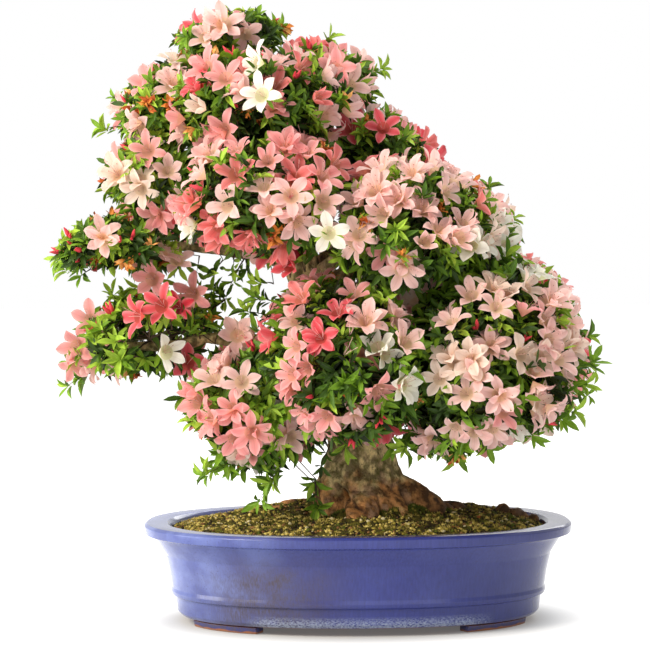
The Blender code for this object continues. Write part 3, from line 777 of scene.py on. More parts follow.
def soil_lump(x, y):
    """How far the soil stands up in lumps some 20 mm across, as a share."""
    return noise.fractal(Vector((x, y, 0.0)) * 48.0, *ROUGH_NOISE, 5)


def soil_level(x, y, t):
    """The height of the soil at a place, t of the way from the pot's wall to the middle."""
    inside = min(1.0, t / SOIL_EDGE_SHARE)
    rise = SOIL_AT_WALL + (SOIL_AT_TRUNK - SOIL_AT_WALL) * math.sin(0.5 * math.pi * min(1.0, t))
    lumps = LUMP_HEIGHT * soil_lump(x, y) * (0.25 + 0.75 * inside)
    return rise + moss_height(x, y) * inside + lumps


def soil_point(angle, share):
    """A point of the soil's surface, from the wall at 0 to the middle at 1."""
    edge = oval_point(angle, SOIL_INSET, 0.0)
    patch = PATCH_CENTRE + Vector(
        (PATCH_HALF_LENGTH * math.cos(angle), PATCH_HALF_DEPTH * math.sin(angle), 0.0)
    )
    t = share / PATCH_SHARE
    further = (share - PATCH_SHARE) / (1.0 - PATCH_SHARE)
    point = edge.lerp(patch, t) if t < 1.0 else patch.lerp(PATCH_CENTRE, further)
    return Vector((point.x, point.y, soil_level(point.x, point.y, t)))


def soil_over(x, y):
    """The point of the soil near the trunk at a place in plan."""
    return Vector((x, y, soil_level(x, y, 1.0)))


def soil_material(settings):
    """Damp potting grit under a film of moss: matt, olive over dark brown, in clumps of 8 mm."""
    made, tree, shader = started("mossy potting soil", 0.95, IOR=1.4, Specular_IOR_Level=0.2)
    clumps = pattern(tree, 8.0 * MM, 0.40, 0.60, detail=6.0)
    fine = pattern(tree, 1.6 * MM, 0.38, 0.62, detail=3.0)
    moss = layered(tree, shade(settings.moss, 0.55), (fine, settings.moss))
    tree.links.new(layered(tree, settings.earth, (clumps, moss)), shader.inputs["Base Color"])
    bump = node(tree, "Bump", {"Strength": 0.6, "Distance": 0.0015, "Height": fine})
    tree.links.new(bump, shader.inputs["Normal"])
    return made


def crumb_material(name, code):
    """One sort of crumb, dull, with a fleck of shade about a millimetre across."""
    made, tree, shader = started(name, 0.9, Specular_IOR_Level=0.2)
    own = linear(code)
    base = layered(tree, shade(own, 0.62), (pattern(tree, 1.3 * MM, 0.38, 0.62), own))
    tree.links.new(base, shader.inputs["Base Color"])
    return made


# Sorts of crumb on the soil, and how often each is dealt where light is painted (the raised clumps,
# the left) and where shade is painted (the gaps, the right)
TUFT_FOOT = 0.0008  # how far a tuft stands in the soil
CRUMBS = (
    ("olive moss crumb", "#948438", 0.36, 0.16),
    ("yellow moss crumb", "#CDB764", 0.40, 0.01),
    ("green moss crumb", "#57601F", 0.06, 0.22),
    ("dark humus crumb", "#251B0F", 0.04, 0.46),
    ("baked clay crumb", "#86603A", 0.08, 0.16),
    ("dry petal crumb", "#A0582E", 0.01, 0.01),
    ("pale grit", "#D2C498", 0.07, 0.01),
)


def as_template(shape):
    """A small shape as arrays, so that many copies of it can be joined at once."""
    shape.verts.index_update()
    uv = shape.loops.layers.uv.verify()
    faces = list(shape.faces)
    made = {
        "points": np.array([corner.co for corner in shape.verts]),
        "corners": np.array([loop.vert.index for face in faces for loop in face.loops]),
        "counts": np.array([len(face.loops) for face in faces]),
        "maps": np.array([loop[uv].uv for face in faces for loop in face.loops]),
        "slots": np.array([face.material_index for face in faces]),
    }
    shape.free()
    made["triangles"] = int((made["counts"] - 2).sum())
    return made


class Scatter:
    """The places of one kind of small thing, in the order that they are dealt."""

    def __init__(self):
        self.rows = []

    def add(self, which, place, along, face, size, slot=0):
        """A copy of template number which: its Y lies along, its Z towards face, scaled by size."""
        self.rows.append((which, *place, *along, *face, *size, slot))

    def array(self):
        """Its rows: template, place, along, face, size and slot."""
        return np.array(self.rows, float).reshape(-1, 14)


def unit(vectors):
    """Each vector at length one."""
    return vectors / np.maximum(np.linalg.norm(vectors, axis=-1, keepdims=True), 1e-9)


def set_down(template, rows):
    """The points of a template at each row's place."""
    along = unit(rows[:, 4:7])
    across = unit(np.cross(along, rows[:, 7:10]))
    face = np.cross(across, along)
    scaled = template["points"][None, :, :] * rows[:, None, 10:13]
    axes = np.stack([across, along, face], axis=1)
    return rows[:, None, 1:4] + np.einsum("nvk,nkj->nvj", scaled, axes)


def box_keeps(points):
    """Which copies lie inside the CAD model's box."""
    low = np.array(CAD_BOX[0] - PLANT_PLACE) + 0.2 * MM
    high = np.array(CAD_BOX[1] - PLANT_PLACE) - 0.2 * MM
    return ((points > low) & (points < high)).all(axis=(1, 2))


def joined(name, templates, scatter, materials, nodes=()):
    """Every copy of the scatter as joined meshes, low to high, each within its triangles."""
    rows = scatter.array()
    rows = rows[np.argsort(rows[:, 3], kind="stable")]
    kept, weights = [], []
    for which, template in enumerate(templates):
        chosen = np.flatnonzero(rows[:, 0] == which)
        inside = chosen[box_keeps(set_down(template, rows[chosen]))]
        kept.append(inside)
        weights.append(np.full(len(inside), template["triangles"]))
    order = np.argsort(np.concatenate(kept), kind="stable")
    rows = rows[np.concatenate(kept)[order]]
    total = np.concatenate(weights)[order].cumsum()
    share = max(1, math.ceil(total[-1] / PIECE_TRIANGLES))
    for part in range(share):
        low, high = total[-1] * part / share, total[-1] * (part + 1) / share
        chosen = rows[(total > low) & (total <= high)]
        mesh = joined_mesh(f"{name}_{part + 1}", templates, chosen)
        finished(f"{name}_{part + 1}", mesh, materials, nodes)


def joined_mesh(name, templates, rows):
    """One mesh of every copy in the rows, with the UV map and material slot of each."""
    points, corners, counts, maps, slots = [], [], [], [], []
    base = 0
    for which, template in enumerate(templates):
        chosen = rows[rows[:, 0] == which]
        if not len(chosen):
            continue
        placed = set_down(template, chosen).reshape(-1, 3)
        step = len(template["points"])
        starts = base + step * np.arange(len(chosen))
        points.append(placed)
        corners.append((template["corners"][None, :] + starts[:, None]).ravel())
        counts.append(np.tile(template["counts"], len(chosen)))
        maps.append(np.tile(template["maps"], (len(chosen), 1)))
        slots.append((template["slots"][None, :] + chosen[:, 13:14]).ravel())
        base += step * len(chosen)
    points, corners, counts = (np.concatenate(rows) for rows in (points, corners, counts))
    mesh = bpy.data.meshes.new(name)
    mesh.vertices.add(len(points))
    mesh.vertices.foreach_set("co", points.astype(np.float32).ravel())
    mesh.loops.add(len(corners))
    mesh.loops.foreach_set("vertex_index", corners.astype(np.int32))
    mesh.polygons.add(len(counts))
    starts = np.concatenate([[0], counts.cumsum()[:-1]]).astype(np.int32)
    mesh.polygons.foreach_set("loop_start", starts)
    mesh.polygons.foreach_set("material_index", np.concatenate(slots).astype(np.int32))
    mesh.uv_layers.new(name="UVMap").data.foreach_set(
        "uv", np.concatenate(maps).astype(np.float32).ravel()
    )
    mesh.update(calc_edges=True)
    mesh.validate()
    return mesh


def crumb_template(seed, flatness):
    """A crumb of twenty faces, pushed out of round."""
    shape = bmesh.new()
    bmesh.ops.create_icosphere(shape, subdivisions=1, radius=0.5)
    for corner in shape.verts:
        corner.co *= 1.0 + 0.5 * noise.noise(corner.co * 3.0 + Vector((seed, 0.0, 0.0)))
        corner.co.z *= flatness
    return as_template(shape)


def tuft_template(seed):
    """A moss tuft: three thin blades that lean apart."""
    shape = bmesh.new()
    for i in range(3):
        turn = Matrix.Rotation(2.1 * i + seed, 4, "Z") @ Matrix.Rotation(
            math.radians(22.0 + 9.0 * i), 4, "X"
        )
        bmesh.ops.create_cone(
            shape, cap_ends=True, segments=3, radius1=0.12, radius2=0.02, depth=1.0,
            matrix=turn @ Matrix.Translation((0.0, 0.0, 0.5)),
        )
    return as_template(shape)


def lay_crumbs(settings, chance):
    """The crumbs on the soil, with painted light and shade: pale ones on the clumps that stand up
    and more of them on the left, which faces the light, dark ones in the gaps and on the right.
    """
    crumbs = Scatter()
    light, dark = (np.array([row[i] for row in CRUMBS]) for i in (2, 3))
    for _ in range(settings.grains):
        angle = chance.uniform(0.0, 2.0 * math.pi)
        point = soil_point(angle, 1.0 - math.sqrt(chance.uniform(0.0, 0.985)))
        size = settings.grain * (0.32 + chance.random() ** 2.2)
        tilt = drift(chance, 0.6) + UP
        spin = Vector((*chance.normal(0.0, 1.0, 2), 0.0))
        # Painted light and shade: the share of pale crumbs rises on raised clumps and towards the
        # left, and falls in the gaps and towards the right
        share = min(0.97, max(0.03, 0.47 + 1.7 * soil_lump(point.x, point.y) - 1.6 * point.x))
        chances = share * light + (1.0 - share) * dark
        sort = int(chance.choice(len(CRUMBS), p=chances / chances.sum()))
        which = int(chance.integers(3))
        crumbs.add(which, point, spin, tilt, (size, size * chance.uniform(0.7, 1.4), size), sort)
    return crumbs


def stand_tufts(settings, chance):
    """The moss tufts: thin over the soil, dense and deep green on the cushions."""
    tufts = Scatter()

    def stand(point, size, lean, which, sort):
        foot = point - UP * TUFT_FOOT
        tufts.add(which, foot, lean.orthogonal(), lean, (size, size, size), sort)

    for _ in range(settings.tufts):
        angle = chance.uniform(0.0, 2.0 * math.pi)
        point = soil_point(angle, 1.0 - math.sqrt(chance.uniform(0.0, 0.95)))
        if noise.noise(point * 26.0) < -0.25:
            continue
        size = chance.uniform(0.0022, 0.0048)
        lean = Vector((*chance.normal(0.0, 0.25, 2), 1.0))
        # Painted shade: the two dark greens go in the hollows and, more and more, towards the
        # right, away from the light; the two pale ones elsewhere
        shaded = soil_lump(point.x, point.y) < -0.02 + 0.6 * point.x
        sort = (3, 2)[int(chance.integers(2))] if shaded else int(chance.integers(2))
        stand(point, size, lean, int(chance.integers(2)), sort)
    for middle_x, middle_y, half, _ in MOSS_CUSHIONS:
        for _ in range(int(260 * (half / 0.014) ** 2)):
            x = middle_x + chance.normal(0.0, 0.5 * half)
            y = middle_y + chance.normal(0.0, 0.5 * half)
            lean = Vector((*chance.normal(0.0, 0.35, 2), 1.0))
            size = chance.uniform(0.0025, 0.0050)
            which = int(chance.integers(2))
            sort = len(CRUMBS) if chance.integers(6) == 0 else 2
            stand(soil_over(x, y), size, lean, which, sort)
    return tufts


def make_soil(settings):
    """The soil's surface, with crumbs and moss tufts joined onto it."""
    columns, rows = 260, 84

    def place(share, row):
        return soil_point(2.0 * math.pi * share, min(row / rows, 0.995))

    mesh = mesh_of("mossy_soil", wrapped(columns, rows, place))
    finished("mossy_soil", mesh, [soil_material(settings)], ["soil"])
    chance = np.random.default_rng(31)
    sorts = [crumb_material(row[0], row[1]) for row in CRUMBS]
    grit = [crumb_template(i, 0.65 + 0.15 * i) for i in range(3)]
    joined("soil_crumbs", grit, lay_crumbs(settings, chance), sorts, ["soil"])
    green = [*sorts, crumb_material("deep green moss", "#3D5A18")]
    moss = [tuft_template(0.0), tuft_template(1.0)]
    joined("moss_tufts", moss, stand_tufts(settings, chance), green, ["soil"])


def root_reach(angle, height):
    """How far the root flare stands out past the trunk, in a direction and at a height."""
    reach = 0.0
    for degrees, reach_out, half_angle, rise in ROOTS:
        turn = math.remainder(angle - math.radians(degrees), 2.0 * math.pi)
        across = abs(turn) / math.radians(half_angle)
        up = (height - TRUNK_BASE) / rise
        if across < 1.0 and up < 1.0:
            reach = max(reach, reach_out * (1.0 - up * up) * math.cos(0.5 * math.pi * across))
    return reach


def cleft_depth(angle, height, radius):
    """How deep the clefts cut, and how far the burls stand out, at a place on the trunk."""
    out = 0.0
    for from_degrees, from_height, to_degrees, to_height, half_width, depth in CLEFTS:
        start = Vector((math.radians(from_degrees) * radius, from_height))
        run = Vector((math.radians(to_degrees) * radius, to_height)) - start
        turn = math.remainder(angle - math.radians(from_degrees), 2.0 * math.pi)
        here = Vector((turn * radius, height - from_height))
        share = clamped(here.dot(run) / run.length_squared)
        away = (here - run * share).length
        fade = math.sin(math.pi * (0.12 + 0.83 * share))
        out -= depth * fade * math.exp(-((away / half_width) ** 2))
    for degrees, burl_height, half_size, rise in BURLS:
        turn = math.remainder(angle - math.radians(degrees), 2.0 * math.pi) * radius
        away = math.hypot(turn, height - burl_height) / half_size
        out += rise * math.exp(-away * away)
    return out


def bark_relief(point, ridge, flake, run=2.2):
    """Sinewy swellings along the limb, with small flakes and pocks over them."""
    stretched = Vector((point.x * 36.0, point.y * 36.0, point.z * 36.0 / run))
    sinew = 1.0 - abs(noise.noise(stretched)) * 2.6
    swell = noise.noise(point * 22.0)
    small = noise.fractal(point * 120.0, *ROUGH_NOISE, 4)
    return ridge * (0.9 * (sinew - 0.4) + 1.1 * swell) + flake * small


def bark_material(settings):
    """Old azalea bark: thin and blotched, red-brown low down, pale olive with lichen above."""
    made, tree, shader = started("lichened azalea bark", 0.85, Specular_IOR_Level=0.25)
    # The red-brown of the flare gives way to olive about 154 to 180 mm up, raggedly
    wander = pattern(tree, 24.0 * MM, 0.3, 0.7, (1.0, 1.0, 1.0), 5.0, -0.026, 0.026)
    line = node(tree, "Math", place_along(tree, "Z"), wander, operation="ADD")
    upward = node(tree, "MapRange", line, 0.154, 0.180)
    blotch = pattern(tree, 10.0 * MM, 0.42, 0.60, (1.0, 1.0, 1.2), 10.0)
    low = layered(tree, shade(settings.lower, 0.30), (blotch, shade(settings.lower, 1.60)))
    high = layered(tree, shade(settings.upper, 0.38), (blotch, shade(settings.upper, 1.35)))
    # Patches of green film 9 mm across, speckled
    film = pattern(tree, 9.0 * MM, 0.46, 0.62, (1.0, 1.0, 1.3), 8.0, high_out=0.75)
    dust = pattern(tree, 20.0 * MM, 0.54, 0.64, detail=8.0, high_out=0.45)
    pocks = pattern(tree, 3.2 * MM, 0.60, 0.70, (1.0, 1.0, 1.4), 3.0, high_out=0.55)
    # Painted shade: the end of the right root and the knobs beyond it, away from the light, are
    # darkened
    right_end_shade = node(tree, "MapRange", place_along(tree, "X"), 0.108, 0.150, 0.0, 0.62)
    # Painted shade: the hollows of the relief, by their pointiness, take the clefts' dark colour
    hollows = node(tree, "NewGeometry", out="Pointiness")
    hollow_shade = node(tree, "MapRange", hollows, 0.492, 0.42, 0.0, 0.95)
    base = layered(
        tree,
        low,
        (upward, layered(tree, high, (film, settings.moss))),
        (dust, [min(1.0, 0.12 + 1.1 * c) for c in settings.lower]),
        (pocks, settings.cleft),
        (right_end_shade, settings.cleft),
        (hollow_shade, settings.cleft),
    )
    tree.links.new(base, shader.inputs["Base Color"])
    fine = pattern(tree, 1.6 * MM, 0.3, 0.7, (1.0, 1.0, 1.6), 6.0)
    bump = node(tree, "Bump", {"Strength": 0.6, "Distance": 0.0011, "Height": fine})
    tree.links.new(bump, shader.inputs["Normal"])
    return made


def make_trunk(settings, material):
    """The trunk by its source's outlines, finer, with relief, clefts and burls."""
    line = smooth_line(TRUNK_LINE, 12)
    rows = len(line) - 1
    tilts = []
    for i in range(rows + 1):
        lean = Vector(line[min(i + 1, rows)][:3] - line[max(i - 1, 0)][:3]).normalized()
        share = clamped((line[i][2] - 0.190) / 0.035)
        tilts.append(UP.rotation_difference(UP.lerp(lean, share).normalized()))

    def place(share, row):
        x, y, z, half_width = line[row]
        angle = 2.0 * math.pi * share
        flute = 1.0 + TRUNK_FLUTE_DEPTH * math.cos(TRUNK_FLUTES * angle + TRUNK_FLUTE_TWIST * z)
        reach = half_width * flute + root_reach(angle, z)
        direction = Vector((math.cos(angle), math.sin(angle), 0.0))
        at = Vector((x, y, z)) + direction * reach
        fade = min(1.0, half_width / 0.030)
        reach += bark_relief(at, settings.ridge * fade, settings.flake)
        if z < 0.20:
            reach += cleft_depth(angle, z, half_width)
            # Warts and pits 8 mm across on the flare
            reach += 0.0016 * noise.noise(at * 125.0) * min(1.0, (0.20 - z) / 0.03)
        return Vector((x, y, z)) + tilts[row] @ (direction * reach)

    mesh = mesh_of("trunk_bark", wrapped(settings.sides, rows, place))
    return finished("trunk_bark", mesh, [material], ["trunk"])


def along_trunk(height):
    """The trunk's middle and half width at a height."""
    for low, high in zip(TRUNK_LINE, TRUNK_LINE[1:]):
        if height <= high[2]:
            share = (height - low[2]) / (high[2] - low[2])
            mixed = [a + (b - a) * share for a, b in zip(low, high)]
            return Vector(mixed[:3]), mixed[3]
    return Vector(TRUNK_LINE[-1][:3]), TRUNK_LINE[-1][3]


def ellipsoid_reach(half_sizes, direction):
    """How far an ellipsoid reaches from its middle in a direction."""
    return 1.0 / Vector([d / h for d, h in zip(direction, half_sizes)]).length


def bough_line(name):
    """A bough's points and half widths, from inside the trunk to the mass that it carries."""
    middle, half_sizes, height, half_width = FOLIAGE[name]
    middle = Vector(middle)
    start, _ = along_trunk(height)
    heading = (middle - (start + UP * BOUGH_RISE)).normalized()
    tip = middle - heading * ellipsoid_reach(half_sizes, heading) * BOUGH_ENTERS
    neck = tip - heading * BOUGH_NECK
    bend = neck - heading * 0.5 * (neck - start).length
    line = []
    for t in (0.0, 1 / 3, 2 / 3, 1.0):
        point = start.lerp(bend, t).lerp(bend.lerp(neck, t), t)
        line.append((point, half_width * (1.0 - (1.0 - BOUGH_TAPER) * t)))
    line.append((tip, half_width * BOUGH_TAPER))
    return line


class Space:
    """The room that one mass keeps to: an ellipsoid cut by planes."""

    def __init__(self, middle, half_sizes):
        self.middle = Vector(middle)
        self.half_sizes = Vector(half_sizes)
        self.planes = []

    def cut(self, point, outward):
        """Keeps the space behind the plane through a point."""
        outward = outward.normalized()
        self.planes.append((*outward, outward.dot(point - self.middle)))

    def oval(self, ways):
        """How far the ellipsoid alone reaches in each direction."""
        return 1.0 / np.linalg.norm(ways / np.array(self.half_sizes), axis=1)

    def reach(self, ways):
        """How far it is from the middle to the edge of the space in each direction."""
        planes = np.array(self.planes)
        slope = ways @ planes[:, :3].T
        with np.errstate(divide="ignore", invalid="ignore"):
            away = np.where(slope > 1e-6, planes[None, :, 3] / slope, np.inf)
        return np.minimum(self.oval(ways), away.min(axis=1))


def limb_samples(points):
    """Close-set points along a limb, with its half width at each."""
    samples = []
    for (start, first), (end, last) in zip(points, points[1:]):
        steps = max(1, math.ceil((end - start).length / LIMB_STEP))
        for i in range(steps + 1):
            share = i / steps
            samples.append((start.lerp(end, share), first + (last - first) * share))
    return samples


@functools.lru_cache(maxsize=None)
def make_spaces():
    """Each mass's space, kept off its neighbours by a plane, and off every limb but its own."""
    spaces = {name: Space(row[0], row[1]) for name, row in FOLIAGE.items()}
    for name, space in spaces.items():
        for other_name, other in spaces.items():
            if other_name == name:
                continue
            between_them = other.middle - space.middle
            toward = between_them.normalized()
            mine = ellipsoid_reach(space.half_sizes, toward)
            theirs = ellipsoid_reach(other.half_sizes, toward)
            share = mine / (mine + theirs)
            space.cut(space.middle + between_them * share - toward * SPACE_MARGIN, toward)
    trunk_points = [(Vector((x, y, z)), half) for x, y, z, half in TRUNK_LINE]
    limbs = {"apex": limb_samples(trunk_points)}
    for name, row in FOLIAGE.items():
        if row[2] is not None:
            limbs[name] = limb_samples(bough_line(name))
    for name, space in spaces.items():
        for owner, samples in limbs.items():
            if owner == name:
                continue
            for point, half_width in samples:
                outward = (point - space.middle).normalized()
                space.cut(point - outward * (half_width + LIMB_CLEARANCE), outward)
        tip, half_width = limbs[name][-1]
        space.stem_start = tip
        space.stem_half_width = half_width
    return spaces


def tube(line, half_widths, sides, ridge, flake):
    """A round limb along a line, with bark relief and closed ends."""
    points = [Vector(point) for point in line]
    last = len(points) - 1
    heading = (points[1] - points[0]).normalized()
    side = heading.orthogonal().normalized()
    frames = []
    for i in range(last + 1):
        turned = (points[min(i + 1, last)] - points[max(i - 1, 0)]).normalized()
        side = (side - turned * side.dot(turned)).normalized()
        frames.append((side.copy(), turned.cross(side)))

    def place(share, row):
        angle = 2.0 * math.pi * share
        across, over = frames[row]
        direction = across * math.cos(angle) + over * math.sin(angle)
        at = points[row] + direction * half_widths[row]
        return points[row] + direction * (half_widths[row] + bark_relief(at, ridge, flake, 1.0))

    return wrapped(sides, last, place)


def inner_stem(name):
    """The limb inside a mass: from the bough's tip on past the middle of the mass."""
    space = make_spaces()[name]
    heading = (space.middle - space.stem_start).normalized()
    half_width = space.stem_half_width
    end = space.middle + heading * 0.25 * ellipsoid_reach(space.half_sizes, heading)
    if name == "lower_left_pad":
        low = Vector((0.0, 0.0, -0.010))
        return [
            (space.stem_start.lerp(space.middle, 0.5) + low, half_width),
            (end + low, half_width * 0.45),
        ]
    return [(space.middle, half_width * 0.68), (end, half_width * 0.4)]


def make_boughs(settings, material):
    """Every bough by its source's line, carried on inside its mass as one tapering limb."""
    whole = bmesh.new()
    for name, row in FOLIAGE.items():
        if row[2] is None:
            continue
        line = [(*point, half_width) for point, half_width in bough_line(name) + inner_stem(name)]
        fine = smooth_line(line, 14)
        limb = tube(fine[:, :3], fine[:, 3], 22, 0.0010, 0.0006)
        mesh = mesh_of("bough", limb)
        whole.from_mesh(mesh)
        bpy.data.meshes.remove(mesh)
    mesh = mesh_of("bough_bark", whole)
    boughs = [f"bough_{name}" for name, row in FOLIAGE.items() if row[2] is not None]
    return finished("bough_bark", mesh, [material], boughs)


def make_knobs(material):
    """Root knobs that stand out of the soil."""
    whole = bmesh.new()
    for middle, half_sizes in ROOT_KNOBS:
        made = bmesh.ops.create_icosphere(whole, subdivisions=4, radius=1.0)
        for corner in made["verts"]:
            lump = 1.0 + 0.22 * noise.fractal(corner.co * 1.1 + Vector(middle) * 90.0, 1.1, 2.0, 4)
            lumpy = [c * h * lump for c, h in zip(corner.co, half_sizes)]
            corner.co = Vector(lumpy) + Vector(middle)
    finished("root_knobs", mesh_of("root_knobs", whole), [material])


def leaf_template(rows, fold, arch):
    """A lance-shaped leaf of unit size: folded along its rib, its tip arching."""
    shape = bmesh.new()
    shape.loops.layers.uv.new("UVMap")
    bmesh.ops.create_grid(shape, x_segments=2, y_segments=rows, size=1.0, calc_uvs=True)
    for corner in shape.verts:
        across, along = corner.co.x, 0.5 * (corner.co.y + 1.0)
        half = 0.5 * math.sin(math.pi * along**1.15) ** 0.9 if 0.001 < along < 0.999 else 0.0
        corner.co = Vector((across * half, along, fold * abs(across) * half - arch * along * along))
    bmesh.ops.remove_doubles(shape, verts=shape.verts[:], dist=1e-4)
    return as_template(shape)


def twig_template(sides):
    """A straight twig along Y, a metre long and of unit half width at its root."""
    shape = bmesh.new()
    turn = Matrix.Rotation(-0.5 * math.pi, 4, "X") @ Matrix.Translation((0.0, 0.0, 0.5))
    bmesh.ops.create_cone(
        shape, cap_ends=False, segments=sides, radius1=1.0, radius2=0.7, depth=1.0, matrix=turn
    )
    return as_template(shape)


# Funnel of a flower: half width and height of its tube, then each step out along a lobe
TUBE = ((0.0004, 0.0030), (0.0094, 0.0128))
LOBE_STEPS = (0.0044, 0.0048, 0.0044, 0.0036, 0.0028)
LOBE_HALF_WIDTHS = (0.0070, 0.0080, 0.0068, 0.0039, 0.0003)
TOP_LOBE = 1.10  # the uppermost lobe is the longest


def blossom_template(petals, lean, recurve, width, seed):
    """An open flower: lobes fused in a funnel, leaning out, cupped and curling back."""
    shape = bmesh.new()
    shape.loops.layers.uv.new("UVMap")
    rows = len(TUBE) + len(LOBE_STEPS) - 1
    half_angle = math.pi / petals
    for petal in range(petals):
        own_lean = lean + 0.17 * math.sin(1.7 * seed + 3.1 * petal)
        own_curl = recurve * (1.0 + 0.5 * math.sin(2.9 * seed + 1.9 * petal))
        swing = 0.16 * math.sin(4.1 * seed + 2.3 * petal)
        longer = TOP_LOBE if petal == 0 else 1.0
        turn = Matrix.Rotation(2.0 * half_angle * petal, 4, "Z")
        grown = bmesh.ops.create_grid(shape, x_segments=2, y_segments=rows, size=1.0, calc_uvs=True)
        for corner in grown["verts"]:
            across = corner.co.x
            row = round(0.5 * (corner.co.y + 1.0) * rows)
            if row < len(TUBE):
                radius, height = TUBE[row]
                angle = half_angle * across
                corner.co = turn @ Vector(
                    (radius * math.cos(angle), radius * math.sin(angle), height)
                )
                continue
            out, height = TUBE[-1]
            steps = row - len(TUBE) + 1
            for step in range(steps):
                bend = own_lean + own_curl * (step / 4.0) ** 1.3
                out += LOBE_STEPS[step] * longer * math.sin(bend)
                height += LOBE_STEPS[step] * longer * math.cos(bend)
            half = LOBE_HALF_WIDTHS[steps - 1] * width
            cup = 0.30 * half * abs(across)
            wave = 0.0010 * math.sin(5.0 * row + 3.0 * seed + 2.0 * petal + 2.0 * across)
            side = half * across + swing * (out - TUBE[-1][0])
            corner.co = turn @ Vector(
                (out - cup * math.cos(bend), side, height + cup * math.sin(bend) + wave)
            )
        for face in {face for corner in grown["verts"] for face in corner.link_faces}:
            middle = face.calc_center_median()
            face.material_index = int(math.hypot(middle.x, middle.y) < 0.0062 and middle.z < 0.0120)
    bmesh.ops.remove_doubles(shape, verts=shape.verts[:], dist=2e-5)
    return as_template(shape)


def filament_template(curl):
    """Three stamens and a longer style: thin stalks that curve out, each with a small head."""
    shape = bmesh.new()
    for i in range(4):
        around = 2.0 * math.pi * i / 4.0 + 0.4
        reach = 0.022 + 0.003 * math.sin(3.0 * i) + (0.005 if i == 0 else 0.0)
        ends = []
        for share in (0.30, 0.70, 1.0):
            out = 0.0006 + 0.0062 * share**2 * (1.0 + curl * math.cos(around))
            x, y = out * math.cos(around) + 0.004 * share**2, out * math.sin(around)
            ends.append(Vector((x, y, reach * share)))
        for low, high in zip(ends, ends[1:]):
            along = high - low
            turn = UP.rotation_difference(along).to_matrix().to_4x4()
            bmesh.ops.create_cone(
                shape,
                cap_ends=False,
                segments=3,
                radius1=0.00028,
                radius2=0.00024,
                depth=along.length,
                matrix=Matrix.Translation(low.lerp(high, 0.5)) @ turn,
            )
        head = bmesh.ops.create_cone(
            shape, cap_ends=False, segments=3, radius1=0.0006, radius2=0.0004, depth=0.0016,
            matrix=Matrix.Translation(ends[-1]),
        )
        for face in {face for corner in head["verts"] for face in corner.link_faces}:
            face.material_index = 1
    return as_template(shape)


def bud_template():
    """A pointed bud of furled petals over a small green cup."""
    shape = bmesh.new()
    bmesh.ops.create_uvsphere(shape, u_segments=6, v_segments=6, radius=0.5)
    for corner in shape.verts:
        along = corner.co.z + 0.5
        swell = math.sin(math.pi * min(1.0, 0.06 + 0.90 * along)) ** 0.9 * (1.15 - 0.5 * along)
        angle = math.atan2(corner.co.y, corner.co.x) + 1.5 * along
        around = 0.5 * swell * (1.0 + 0.16 * math.cos(3.0 * angle))
        corner.co = Vector((math.cos(angle) * around, along, math.sin(angle) * around))
    for face in shape.faces:
        face.material_index = 1 if face.calc_center_median().y < 0.2 else 0
    return as_template(shape)


def faded_template(seed):
    """A wilted flower: narrow shrunken lobes that hang together and curl their own ways."""
    shape = bmesh.new()
    for petal in range(5):
        around = 2.0 * math.pi * petal / 5.0 + 0.5 * math.sin(seed + petal)
        lean = 0.35 + 0.30 * math.sin(2.3 * seed + 2.7 * petal)
        curl = 0.9 * math.sin(1.1 * seed + 4.1 * petal)
        grown = bmesh.ops.create_grid(shape, x_segments=2, y_segments=5, size=1.0)
        for corner in grown["verts"]:
            across, row = corner.co.x, 0.5 * (corner.co.y + 1.0)
            out, along = 0.0, 0.0
            for step in range(round(row * 5)):
                bend = lean + curl * step / 2.0
                out += 0.2 * math.sin(bend)
                along += 0.2 * math.cos(bend)
            half = (0.05, 0.11, 0.15, 0.16, 0.12, 0.03)[round(row * 5)]
            fold = 0.10 * math.sin(4.0 * row + seed + 2.0 * petal) * across + 0.07 * abs(across)
            corner.co = Matrix.Rotation(around + 0.8 * row, 3, "Y") @ Vector(
                (out + fold, along, half * across)
            )
    return as_template(shape)


def even_ways(count, turn):
    """Directions spread evenly over a sphere, by the golden angle."""
    step = np.arange(count)
    z = 1.0 - 2.0 * (step + 0.5) / count
    across = np.sqrt(1.0 - z * z)
    angle = math.pi * (3.0 - math.sqrt(5.0)) * step + turn
    return np.stack([across * np.cos(angle), across * np.sin(angle), z], axis=1)


def as_seen(points):
    """Points brought from the camera into the trunk's plane, as X and Z."""
    points = np.atleast_2d(np.asarray(points, float))
    share = CAMERA_PLACE.y / (CAMERA_PLACE.y - points[:, 1])
    x = CAMERA_PLACE.x + (points[:, 0] - CAMERA_PLACE.x) * share
    z = CAMERA_PLACE.z + (points[:, 2] - CAMERA_PLACE.z) * share
    return x, z


def put_back(x, y, z):
    """The point at a depth that the camera sees at a place in the trunk's plane."""
    share = (CAMERA_PLACE.y - y) / CAMERA_PLACE.y
    back_x = CAMERA_PLACE.x + (x - CAMERA_PLACE.x) * share
    back_z = CAMERA_PLACE.z + (z - CAMERA_PLACE.z) * share
    return Vector((back_x, y, back_z))


def in_oval(x, z, middle_x, middle_z, half_x, half_z):
    """Whether places that the camera sees at x and z lie inside an upright oval."""
    return ((x - middle_x) / half_x) ** 2 + ((z - middle_z) / half_z) ** 2 < 1.0


def off_crown(points, ease=0.0):
    """Which points the camera would see in the sky, past the crown's outline or in a gap."""
    x, z = as_seen(points)
    rows = np.array(CROWN_OUTLINE[::-1])
    left, right = np.interp(z, rows[:, 0], rows[:, 1]), np.interp(z, rows[:, 0], rows[:, 2])
    off = (x < left - ease) | (x > right + ease) | (z > rows[-1, 0] + ease)
    for middle_x, middle_z, half_x, half_z in SKY_GAPS:
        off |= in_oval(x, z, middle_x, middle_z, half_x - ease, half_z - ease)
    return off


def opened(point):
    """Whether a place is in front of one of the crown's openings."""
    x, z = as_seen(point)
    return any(point.y < depth and in_oval(x[0], z[0], *oval) for *oval, depth in OPENINGS)


